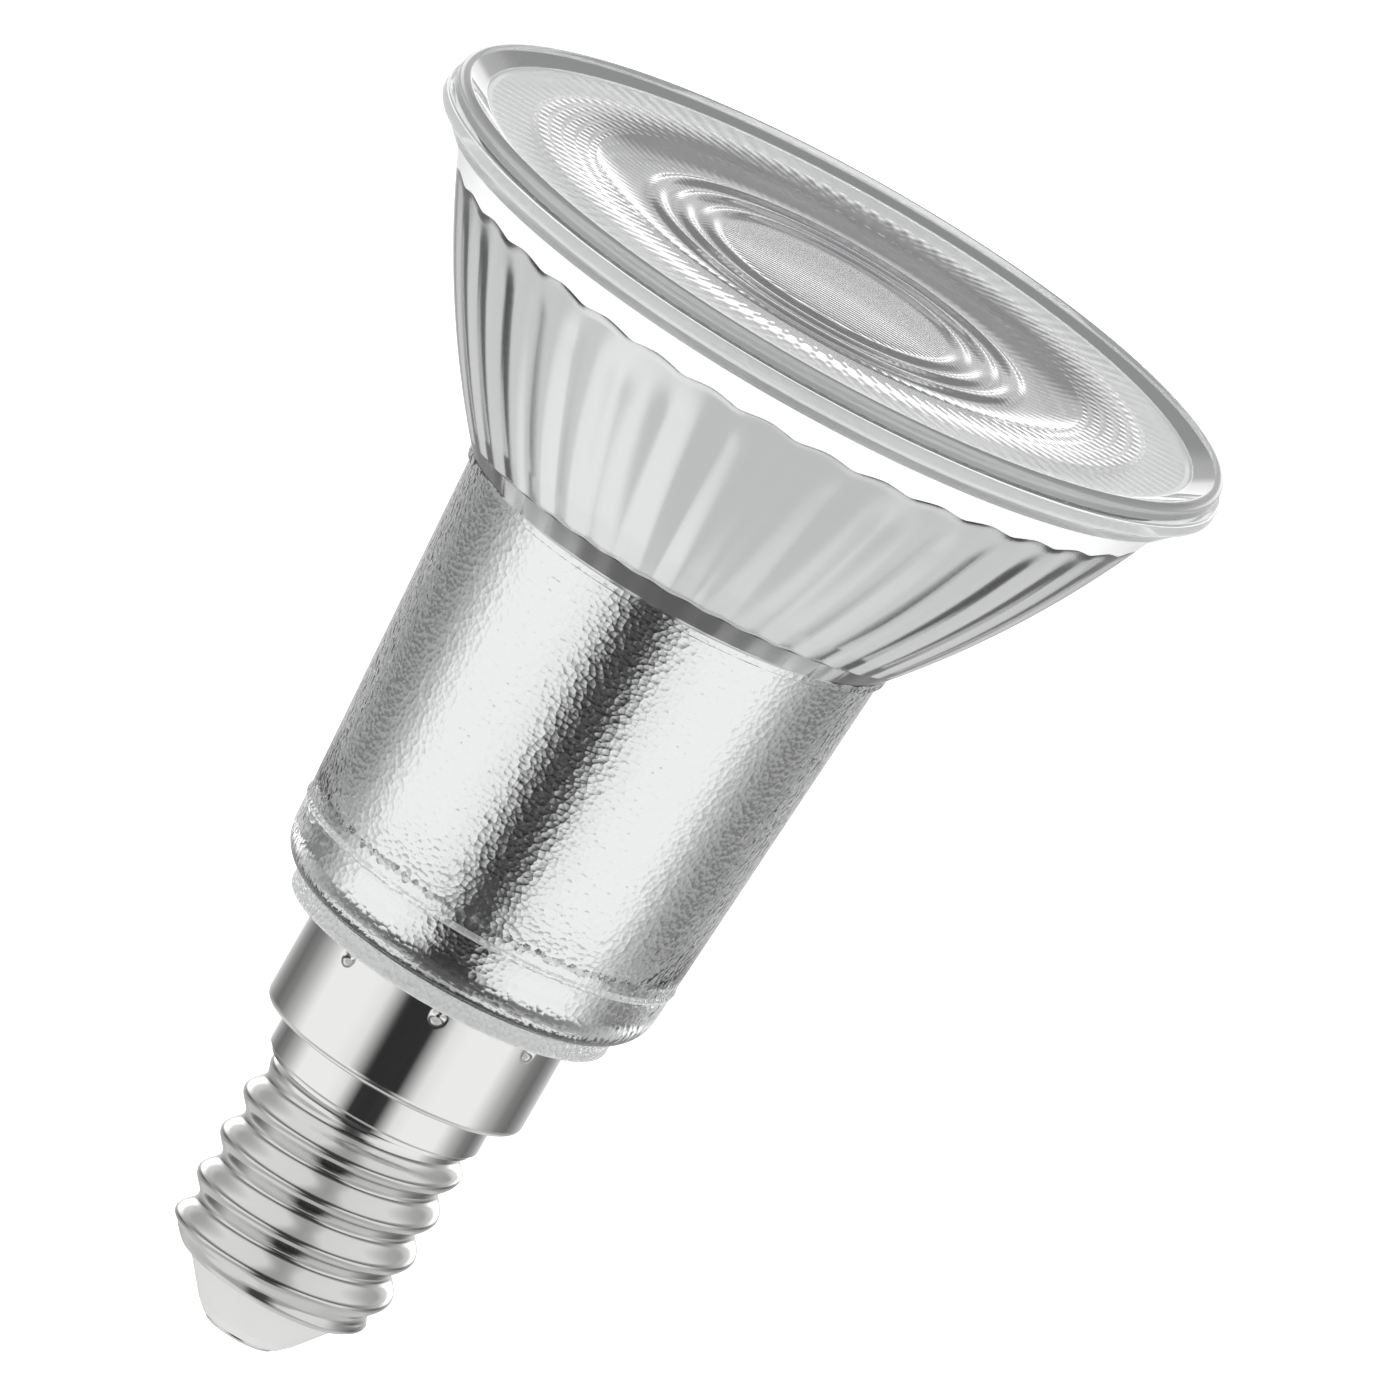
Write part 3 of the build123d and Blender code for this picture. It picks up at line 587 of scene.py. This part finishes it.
def make_grain(build, inputs):
    """Fine uneven grain, spread between two values."""
    span = build.add("ShaderNodeMapRange")
    build.put(noise(build, inputs["Vector"], inputs["Scale"], 3.0), span.inputs["Value"])
    build.put(inputs["Low"], span.inputs["To Min"])
    build.put(inputs["High"], span.inputs["To Max"])
    span.inputs["From Min"].default_value, span.inputs["From Max"].default_value = NOISE_RANGE
    return span.outputs[0]


def make_peel(build, inputs):
    """Height of an orange-peel surface: shallow cells over a slower swell."""
    cells = build.add("ShaderNodeTexVoronoi", feature="F1")
    build.put(inputs["Vector"], cells.inputs["Vector"])
    build.put(inputs["Scale"], cells.inputs["Scale"])
    swell = noise(build, inputs["Vector"], build.math("MULTIPLY", inputs["Scale"], SWELL_SCALE), 2.0)
    away = cells.outputs["Distance"]
    return build.math("ADD", build.product(away, away), build.math("MULTIPLY", swell, SWELL_WEIGHT))


def grain(build, scale, low, high, stretch=(1.0, 1.0, 1.0)):
    """Mask from the shared grain."""
    group = effect("fine_grain", ("Scale", "Low", "High"), "Mask", make_grain)
    return use_effect(build, group, {"Scale": scale, "Low": low, "High": high}, stretch)


def peel_height(build, size):
    """Height from the shared orange peel."""
    return use_effect(build, effect("orange_peel", ("Scale",), "Height", make_peel), {"Scale": 1.0 / size})


def bump(build, shader, height, distance, strength):
    """Raises the shader's surface by a height."""
    node = build.add("ShaderNodeBump")
    node.inputs["Distance"].default_value = distance
    node.inputs["Strength"].default_value = strength
    build.put(height, node.inputs["Height"])
    build.put(node.outputs[0], shader.inputs["Normal"])


def fade(build, value, first, last):
    """Soft step from 0 to 1."""
    node = build.add("ShaderNodeMapRange", interpolation_type="SMOOTHSTEP")
    build.put(value, node.inputs["Value"])
    node.inputs["From Min"].default_value = first
    node.inputs["From Max"].default_value = last
    return node.outputs[0]


def grained(name, rgb, roughness, metallic=0.0, scale=900.0, spread=0.08, **more):
    """Plain finish with a fine unevenness in its roughness."""
    made, build, shader = finish_tree(name)
    set_shader(shader, Base_Color=(*rgb, 1.0), Metallic=metallic, **more)
    mask = grain(build, scale, max(roughness - spread, LEAST_ROUGHNESS), roughness + spread)
    build.put(mask, shader.inputs["Roughness"])
    return made


def clear_glass(name, tint, clearness, peel=0.0, strength=PEEL_STRENGTH, glow=0.0):
    """Pressed glass, smooth or with an orange-peel surface. Its glow stands for light led through an edge."""
    made, build, shader = finish_tree(name)
    set_shader(shader, Base_Color=(*tint, 1.0), Roughness=0.0, IOR=1.5, Transmission_Weight=clearness)
    set_shader(shader, Emission_Color=(*tint, 1.0), Emission_Strength=glow)
    if peel:
        bump(build, shader, peel_height(build, peel), PEEL_DEPTH, strength)
    return made


def mirror_coat(name, rgb, roughness, peel=0.0):
    """Bright metal film on the inside of the glass."""
    made, build, shader = finish_tree(name)
    set_shader(shader, Base_Color=(*rgb, 1.0), Metallic=1.0, Roughness=roughness)
    if peel:
        bump(build, shader, peel_height(build, peel), PEEL_DEPTH, PEEL_STRENGTH)
    return made


def drawn_nickel(name, rgb, rolled, first, last):
    """Nickel plate with faint lines along the drawing direction, duller below, where the thread is rolled.
    Its darker colour there is partly wear and partly painted shade of the thread's hollows.
    """
    made, build, shader = finish_tree(name)
    set_shader(shader, Metallic=1.0)
    drawn = fade(build, build.parts(own_place(build))["Z"], first, last)
    # Darker colour over the thread: partly wear, partly painted shade of its hollows.
    worn_and_shaded_tone = build.add("ShaderNodeMix", data_type="RGBA")
    build.put(drawn, worn_and_shaded_tone.inputs["Factor"])
    # The node's colours have names that its other inputs share, so they go by number
    worn_and_shaded_tone.inputs[6].default_value = (*rolled, 1.0)
    worn_and_shaded_tone.inputs[7].default_value = (*rgb, 1.0)
    build.put(worn_and_shaded_tone.outputs[2], shader.inputs["Base Color"])
    lines = grain(build, DRAWN_LINES, *NICKEL_ROUGHNESS, stretch=(1.0, 1.0, 0.03))
    build.put(build.math("ADD", lines, build.mix(drawn, ROLLED_ROUGHNESS, 0.0)), shader.inputs["Roughness"])
    return made


def lens_glass(name, tint, size):
    """Clear lens with rows of tiny lenses round its face and a fine grid in its centre."""
    made, build, shader = finish_tree(name)
    set_shader(shader, Base_Color=(*tint, 1.0), Metallic=0.25, Roughness=0.04)
    set_shader(shader, IOR=1.6, Transmission_Weight=0.85)
    x, y, _ = build.parts(own_place(build))
    radius = build.diagonal(x, y)
    angle = build.math("ARCTAN2", y, x)

    def waves(value, per_unit):
        return build.math("SINE", build.math("MULTIPLY", value, per_unit))

    def zone(height, weight, inner, outer):
        inside = build.math("LESS_THAN", radius, outer)
        outside = build.math("GREATER_THAN", radius, inner)
        return build.product(inside, weight, outside, height)

    ribs = waves(angle, size.rib_count)
    rows = build.math("MULTIPLY", waves(radius, 2 * pi / size.row_pitch), ribs)
    lattice = 2 * pi / (size.grid_pitch * sqrt(2))
    rising = waves(build.math("ADD", x, y), lattice)
    falling = waves(build.math("SUBTRACT", x, y), lattice)
    grid = build.math("MULTIPLY", rising, falling)
    height = zone(ribs, 0.5, size.ring_r, size.face_r)
    height = build.math("ADD", height, zone(rows, 0.7, size.cove_outer_r, size.ring_r))
    height = build.math("ADD", height, zone(ribs, 0.12, size.centre_r, size.cove_outer_r))
    height = build.math("ADD", height, zone(grid, 1.0, 0.0, size.centre_r))
    bump(build, shader, height, LENS_DEPTH, LENS_STRENGTH)
    return made


# Pieces


def inner_wall(size, bowl_z, bowl_top):
    """Function that gives the radius of the bowl's inner face at a height."""
    start = (size.bowl_low_r, bowl_z)
    _, radius, along = bulge_arc(start, bowl_top, size.bowl_bulge)
    deep = radius - size.bowl_bulge
    centre_r = (start[0] + bowl_top[0]) / 2 - along[1] * deep
    centre_z = (start[1] + bowl_top[1]) / 2 + along[0] * deep
    return lambda z: centre_r + sqrt((radius - size.bowl_wall) ** 2 - (z - centre_z) ** 2)


def glass_outline(size):
    """Closed outline of the glass, as rows of (r, z, share of flute, drop of flute, number of finish)."""
    low, high, edge_r = GLASS_LOW, GLASS_HIGH, GLASS_R
    hole_r = SHELL_R - bpy.context.scene.lamp_cap.sheet
    shoulder_z = low + size.collar_height
    centre_r = size.neck_low_r - size.shoulder
    lift = sqrt(size.shoulder**2 - (size.collar_r - centre_r) ** 2)
    centre_z = shoulder_z + lift
    bead_z = low + size.bead_height
    half_bead = size.bead_width / 2
    neck_top_z = low + size.neck_height
    bowl_z = neck_top_z + size.bowl_edge
    bowl_top = (edge_r - size.rim_overhang, bowl_z + size.bowl_height)
    rim_low_z = high - size.rim_edge
    clear, peeled, mirror, neck_mirror, ledge, edge, frosted, collared = range(8)

    def neck(z):
        widening = (size.neck_top_r - size.neck_low_r) * (z - centre_z) / (neck_top_z - centre_z)
        return size.neck_low_r + widening

    def plain(points, finish):
        return [(r, z, 0.0, 0.0, finish) for r, z in points]

    # Outside of the collar and the neck
    turn = degrees(asin(lift / size.shoulder))
    collar_edge = (size.collar_r - size.collar_edge, low + size.collar_edge)
    points = [(hole_r, low)] + arc(collar_edge, size.collar_edge, -90, 0, 5)
    points += arc((centre_r, centre_z), size.shoulder, -turn, 0, 10)
    points += [(neck(bead_z - half_bead), bead_z - half_bead)]
    points += [
        (neck(bead_z + half_bead * f) + size.bead_rise * (0.5 + 0.5 * cos(f * pi)), bead_z + half_bead * f)
        for f in (-0.75, -0.5, -0.25, 0.0, 0.25, 0.5, 0.75)
    ]
    points += between((neck(bead_z + half_bead), bead_z + half_bead), (size.neck_top_r, neck_top_z), 6)
    rows = []
    for r, z in points:
        finish = frosted if abs(z - bead_z) < half_bead else peeled
        rows += plain([(r, z)], collared if z < shoulder_z else finish)

    # Outside of the bowl, and the rim
    rows += plain([(size.bowl_low_r, neck_top_z)], clear)
    rows += plain(bulged((size.bowl_low_r, bowl_z), bowl_top, size.bowl_bulge, BOWL_ROWS), clear)
    low_round, top_round = size.rim_low_round, size.rim_top_round
    bore_r = edge_r - size.rim_width
    points = [(edge_r - low_round, rim_low_z)]
    points += arc((edge_r - low_round, rim_low_z + low_round), low_round, -40, 0, 4)
    points += arc((edge_r - top_round, high - top_round), top_round, 0, 90, 4)
    rows += plain(points + [(bore_r, high)], edge)

    # Ledge, flutes and facets inside the bowl
    scallop_z = bowl_top[1] - size.scallop_drop
    inner = inner_wall(size, bowl_z, bowl_top)
    scallop_r = inner(scallop_z)
    ledge_z = scallop_z + bore_r - scallop_r
    slope = between((bore_r, ledge_z), (scallop_r, scallop_z), LEDGE_ROWS)[:-1]
    rows += [(r, z, i / LEDGE_ROWS, i / LEDGE_ROWS, ledge) for i, (r, z) in enumerate(slope)]
    flute_low_z = SEAT_Z + size.facet_band
    for i in range(FLUTE_ROWS + 1):
        z = scallop_z + (flute_low_z - scallop_z) * i / FLUTE_ROWS
        rows.append((inner(z), z, inner(z) / scallop_r, max(0.0, 1 - i / SCALLOP_ROWS), mirror))
    bore_top_r = size.neck_top_r - size.neck_wall
    seat_r = bore_top_r + size.seat
    flat = -inner(flute_low_z) * (1 / cos(pi / size.flute_count) - 1) / size.flute_depth
    facets = between((inner(flute_low_z), flute_low_z), (seat_r, SEAT_Z), 3)
    rows += [(r, z, flat, 0.0, mirror) for r, z in facets]

    # Bore of the neck
    bore_low_r = size.neck_low_r - size.neck_wall
    rows += plain(between((bore_top_r, SEAT_Z), (bore_low_r, low + size.floor), 6), neck_mirror)
    return rows + plain([(hole_r, low + size.floor)], peeled)


class LAMP_OT_glass_body(Operator):
    """Makes the pressed glass body with its flutes and its mirror coating"""

    bl_idname = "lamp.glass_body"
    bl_label = "Glass Body"

    def execute(self, context):
        size, finish = context.scene.lamp_glass, context.scene.lamp_finish
        rows = glass_outline(size)
        columns = size.flute_count * FLUTE_COLUMNS
        mesh = turned_mesh("glass_body", [row[:2] for row in rows], columns, closed=True)
        row_values(mesh, "flute_share", "POINT", [row[2] for row in rows], columns)
        row_values(mesh, "flute_drop", "POINT", [row[3] for row in rows], columns)
        row_values(mesh, "finish", "FACE", [row[4] for row in rows], columns)
        # The ledge's emission is painted light: it stands for the light that reaches the ledge through the
        # glass.
        glow = {"Emission_Color": (*finish.ledge, 1.0), "Emission_Strength": 0.72}
        # In the order of the finishes' numbers in the outline
        materials = [
            clear_glass("clear_glass", finish.glass, 1.0),
            clear_glass("peeled_glass", finish.glass, 1.0, finish.peel),
            mirror_coat("bowl_mirror", finish.mirror, 0.12),
            mirror_coat("neck_mirror", finish.mirror, 0.06, finish.peel),
            grained("frosted_ledge_painted_glow", finish.ledge, 0.5, **glow),
            clear_glass("edge_glass", finish.glass, 0.75, glow=0.08),
            clear_glass("frosted_glass", finish.glass, 0.72, finish.peel, 0.7),
            clear_glass("collar_glass", finish.glass, 0.72, finish.peel, 0.7, glow=0.1),
        ]
        values = {
            "Count": size.flute_count,
            "First angle": size.flute_angle,
            "Depth": size.flute_depth,
            "Drop": size.scallop_depth,
            "Crown": size.flute_crown,
        }
        add_piece(pressed(mesh, flute_tree(materials), values), "glass_reflector", 30)
        return {"FINISHED"}


def cap_outline(size, land_z):
    """Closed outline of the screw shell, as rows of (r, z, share of thread, share of crimp)."""
    skirt_z = SHELL_HIGH - size.skirt_height
    thread_low, thread_high = SHELL_LOW + size.thread_start, land_z - size.land_start
    root_bore, land_bore = size.root_r - size.sheet, size.land_r - size.sheet
    skirt_bore, skirt_floor = SHELL_R - size.sheet, skirt_z + size.sheet

    def plain(points):
        return [(r, z, 0.0, 0.0) for r, z in points]

    rows = plain([(size.mouth_r, SHELL_LOW), (root_bore, SHELL_LOW)])
    mouth = arc((size.root_r - size.mouth_round, SHELL_LOW + size.mouth_round), size.mouth_round, -60, 0, 4)
    rows += [(r, z, part, 0.0) for (r, z), part in zip(mouth, MOUTH_SHARES)]
    for i, (r, z) in enumerate(between((size.root_r, thread_low), (size.root_r, thread_high), THREAD_ROWS)):
        run_in, run_out = THREAD_FIRST_SHARE + i / RUN_IN_ROWS, (THREAD_ROWS - i) / RUN_OUT_ROWS
        rows.append((r, z, min(1.0, run_in, run_out), 0.0))
    widening = size.land_r - size.root_r
    rows += plain((size.root_r + widening * f, thread_high + size.land_rise * f) for f in (0.3, 0.7, 1.0))
    rows += plain([(size.land_r, skirt_z)])
    rows += plain(arc((SHELL_R - size.skirt_edge, skirt_z + size.skirt_edge), size.skirt_edge, -90, 0, 6))
    skirt = between((SHELL_R, skirt_z + size.skirt_edge), (SHELL_R, SHELL_HIGH), SKIRT_ROWS)[1:]
    rows += [(r, z, 0.0, 1.0) for r, z in skirt]
    rows += plain([(skirt_bore, SHELL_HIGH), (skirt_bore, skirt_floor), (land_bore, skirt_floor)])
    rows += plain([(land_bore, land_z), (root_bore, land_z - size.sheet)])
    return rows + plain([(root_bore, SHELL_LOW + size.sheet), (size.mouth_r, SHELL_LOW + size.sheet)])


def dress(node, material):
    """Gives a CAD node its material."""
    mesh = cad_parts[node].data
    mesh.materials.clear()
    mesh.materials.append(material)


class LAMP_OT_screw_cap(Operator):
    """Makes the nickel screw shell and finishes the insulator and the contact"""

    bl_idname = "lamp.screw_cap"
    bl_label = "Screw Cap"

    def execute(self, context):
        size, finish = context.scene.lamp_cap, context.scene.lamp_finish
        land_z = SHELL_HIGH - size.skirt_height - size.land_height
        rows = cap_outline(size, land_z)
        mesh = turned_mesh("cap_shell", [row[:2] for row in rows], CAP_COLUMNS, closed=True)
        row_values(mesh, "thread_share", "POINT", [row[2] for row in rows], CAP_COLUMNS)
        row_values(mesh, "crimp_share", "POINT", [row[3] for row in rows], CAP_COLUMNS)
        values = {
            "Pitch": size.pitch,
            "Crest height": size.crest_z,
            "Ridge": size.crest_r - size.root_r,
            "Crimps": size.crimp_count,
            "Crimp angle": size.crimp_angle,
            "Crimp height": SHELL_HIGH - size.crimp_drop,
            "Crimp radius": size.crimp_r,
            "Crimp depth": size.crimp_depth,
            "Skirt radius": SHELL_R,
        }
        nickel = drawn_nickel("drawn_nickel", finish.nickel, finish.rolled, land_z - size.pitch / 2, land_z)
        add_piece(pressed(mesh, thread_tree(nickel), values), "screw_shell", 40)
        dress("centre_contact", nickel)
        dress("base_insulator", grained("pale_insulator", finish.insulator, 0.4))
        return {"FINISHED"}


def lens_outline(size, base_z):
    """Outline of the lens from the middle of its underside out over the crest to the middle of its face."""
    face_z = LENS_HIGH - size.face_drop
    low_z = face_z - size.cove_depth
    half = size.crest / 2
    outline = [(POLE_R, LENS_LOW), (size.face_r, LENS_LOW), (size.face_r, base_z), (LENS_R, base_z)]
    outline += arc((LENS_R - half, LENS_HIGH - half), half, 0, 135, 9)
    outline += arc((size.face_r + size.fillet, face_z + size.fillet), size.fillet, -60, -90, 3)
    outline += [(size.ring_r, face_z), (size.cove_outer_r, face_z)]
    trough = size.cove_outer_r - size.cove_inner_r
    outline += [
        (size.cove_outer_r - trough * f, face_z - size.cove_depth * sin(f * pi / 2) ** COVE_POWER)
        for f in (0.04, 0.1, 0.18, 0.28, 0.4, 0.52, 0.66, 0.8, 0.94)
    ]
    step = (size.cove_inner_r - size.centre_r) / size.step_count
    for i in range(size.step_count):
        outer = size.cove_inner_r - i * step
        outline += [
            (outer - step * f, low_z + size.step_rise * sin(pi * f) ** 2)
            for f in (0.0, 0.1, 0.2, 0.3, 0.4, 0.55, 0.7, 0.85)
        ]
    outline += [(size.centre_r, low_z)]
    outline += [
        (size.centre_r * (1 - f), low_z + size.centre_rise * sin(f * pi / 2) ** CENTRE_POWER)
        for f in (0.05, 0.12, 0.22, 0.4, 0.6, 0.8)
    ]
    return outline + [(POLE_R, low_z + size.centre_rise)]


class LAMP_OT_front_lens(Operator):
    """Makes the front lens with its crest, cove, rings and centre"""

    bl_idname = "lamp.front_lens"
    bl_label = "Front Lens"

    def execute(self, context):
        size, finish = context.scene.lamp_lens, context.scene.lamp_finish
        base_z = LENS_HIGH - size.edge_height
        outline = lens_outline(size, base_z)
        mesh = turned_mesh("lens", outline, LENS_COLUMNS, closed=False)
        mesh.materials.append(lens_glass("lens_glass", finish.lens, size))
        mesh.materials.append(clear_glass("lens_edge", finish.glass, 0.7, glow=0.08))
        on_edge = [int(r > size.face_r and z >= base_z) for r, z in outline[:-1] for _ in range(LENS_COLUMNS)]
        at_poles = [0, 0]
        mesh.polygons.foreach_set("material_index", on_edge + at_poles)
        add_piece(mesh, "lens_cover", 30)
        return {"FINISHED"}


class LAMP_OT_inner_pieces(Operator):
    """Finishes the seal, the light engine and the driver, which show only through the glass"""

    bl_idname = "lamp.inner_pieces"
    bl_label = "Inner Pieces"

    def execute(self, context):
        wire = grained("tinned_wire", (0.75, 0.7, 0.62), 0.3, 1.0)
        package = grained("black_package", (0.03, 0.03, 0.035), 0.45)
        sleeve = grained("can_sleeve", (0.04, 0.04, 0.05), 0.25)
        looks = {
            "lens_seal": grained("clear_seal", (0.95, 0.95, 0.95), 0.15, Transmission_Weight=1.0),
            "heat_spreader": grained("drawn_aluminium", (0.78, 0.79, 0.8), 0.28, 1.0),
            "thermal_pad": grained("soft_pad", (0.4, 0.45, 0.5), 0.8),
            "led_board": grained("white_mask", (0.86, 0.86, 0.84), 0.35),
            "led_chips": grained("phosphor", (0.9, 0.72, 0.25), 0.5),
            "board_screws": grained("plain_steel", (0.62, 0.62, 0.63), 0.25, 1.0),
            "led_leads": wire,
            "shell_wire": wire,
            "driver_housing": grained("white_moulding", (0.82, 0.82, 0.8), 0.45),
            "driver_board": grained("green_laminate", (0.05, 0.24, 0.1), 0.4),
            "input_capacitor": sleeve,
            "output_capacitor": sleeve,
            "inductor_core": grained("ferrite", (0.08, 0.08, 0.085), 0.6),
            "inductor_winding": grained("enamelled_copper", (0.65, 0.3, 0.14), 0.3, 1.0),
            "bridge_rectifier": package,
            "driver_ic": package,
            "fusible_resistor": grained("coated_ceramic", (0.36, 0.45, 0.4), 0.45),
        }
        for node, look in looks.items():
            dress(node, look)
        return {"FINISHED"}


# Stage


def by_angle(build, angle, stops):
    """Brightness between stops of (degrees, brightness)."""
    first, last = stops[0][0], stops[-1][0]
    node = build.add("ShaderNodeValToRGB")
    place = build.math("DIVIDE", build.math("SUBTRACT", angle, radians(first)), radians(last - first))
    build.put(place, node.inputs[0])
    elements = node.color_ramp.elements
    elements[0].position, elements[1].position = 0.0, 1.0
    for degree, _ in stops[1:-1]:
        elements.new((degree - first) / (last - first))
    for element, (_, value) in zip(elements, stops):
        element.color = (value, value, value, 1.0)
    channels = build.add("ShaderNodeSeparateColor")
    build.put(node.outputs[0], channels.inputs[0])
    return channels.outputs[0]


def studio_world():
    """White studio by direction: a dark gap in front, bright sides, greyer behind and towards the floor.

    What is seen straight or through clear glass is the white backdrop.
    """
    world = bpy.data.worlds.new("studio")
    world.use_nodes = True
    build = Tree(world.node_tree)
    background = world.node_tree.nodes["Background"]
    x, y, z = build.parts(build.add("ShaderNodeTexCoord").outputs["Generated"])
    turn = build.math("ARCTAN2", x, build.math("MULTIPLY", y, -1.0))
    aside = build.math("ABSOLUTE", turn)
    light = by_angle(build, turn, FLOOR_ROUND)
    for first, last, stops in BANDS:
        light = build.mix(fade(build, z, first, last), light, by_angle(build, aside, stops))
    path = build.add("ShaderNodeLightPath").outputs
    unmirrored = build.math("LESS_THAN", path["Glossy Depth"], 0.5)
    through = build.math("MULTIPLY", path["Is Transmission Ray"], unmirrored)
    seen = build.math("MAXIMUM", path["Is Camera Ray"], through)
    build.put(build.mix(seen, light, 1.0), background.inputs["Strength"])
    background.inputs["Color"].default_value = (1.0, 1.0, 1.0, 1.0)
    return world


class LAMP_OT_stage(Operator):
    """Sets the pale floor, the soft studio light and the camera"""

    bl_idname = "lamp.stage"
    bl_label = "Stage"

    def execute(self, context):
        size, scene = context.scene.lamp_stage, context.scene
        scene.world = studio_world()
        scene.view_settings.view_transform = "Standard"

        mesh = bpy.data.meshes.new("floor")
        half = FLOOR_HALF
        corners = [(-half, -half, 0.0), (half, -half, 0.0), (half, half, 0.0), (-half, half, 0.0)]
        mesh.from_pydata(corners, [], [(0, 1, 2, 3)])
        floor = bpy.data.objects.new("floor", mesh)
        pale, _, shader = finish_tree("pale_floor")
        set_shader(shader, Base_Color=(0.9, 0.9, 0.9, 1.0), Roughness=0.9)
        set_shader(shader, Emission_Color=(1.0, 1.0, 1.0, 1.0), Emission_Strength=1.0)
        mesh.materials.append(pale)
        floor.visible_glossy = False
        floor.visible_transmission = False
        scene.collection.objects.link(floor)

        camera_data = bpy.data.cameras.new("camera")
        camera = bpy.data.objects.new("camera", camera_data)
        scene.collection.objects.link(camera)
        right = Vector((1.0, 0.0, 0.0))
        back = Vector((0.0, -cos(size.elevation), sin(size.elevation)))
        up = back.cross(right)
        across = cos(size.roll) * right + sin(size.roll) * up
        upward = cos(size.roll) * up - sin(size.roll) * right
        aim = Vector((0.0, 0.0, size.aim_z)) + right * size.aim_side
        turn = Matrix((across, upward, back)).transposed().to_4x4()
        camera.matrix_world = Matrix.Translation(aim + back * size.distance) @ turn
        camera_data.sensor_width = SENSOR_WIDTH
        camera_data.lens = SENSOR_WIDTH * size.distance / size.span
        camera_data.clip_start, camera_data.clip_end = CLIP_NEAR, CLIP_FAR
        scene.camera = camera
        return {"FINISHED"}


OPERATORS = (
    LAMP_OT_glass_body,
    LAMP_OT_screw_cap,
    LAMP_OT_front_lens,
    LAMP_OT_inner_pieces,
    LAMP_OT_stage,
)


class LAMP_PT_panel(Panel):
    """Lists the lamp's pieces and their sizes"""

    bl_idname = "LAMP_PT_panel"
    bl_label = "Reflector Lamp"
    bl_space_type = "VIEW_3D"
    bl_region_type = "UI"
    bl_category = "Lamp"

    def draw(self, context):
        for kind in OPERATORS:
            self.layout.operator(kind.bl_idname)
        for key, group in SETTINGS.items():
            column = self.layout.column(align=True)
            for name in group.__annotations__:
                column.prop(getattr(context.scene, key), name)


def register():
    for kind in (*SETTINGS.values(), *OPERATORS, LAMP_PT_panel):
        bpy.utils.register_class(kind)
    for key, group in SETTINGS.items():
        setattr(bpy.types.Scene, key, PointerProperty(type=group))


def unregister():
    for key in SETTINGS:
        delattr(bpy.types.Scene, key)
    for kind in (LAMP_PT_panel, *OPERATORS, *SETTINGS.values()):
        bpy.utils.unregister_class(kind)


def main():
    register()
    bpy.ops.lamp.glass_body()
    bpy.ops.lamp.screw_cap()
    bpy.ops.lamp.front_lens()
    bpy.ops.lamp.inner_pieces()
    bpy.ops.lamp.stage()


if __name__ == "__main__":
    main()
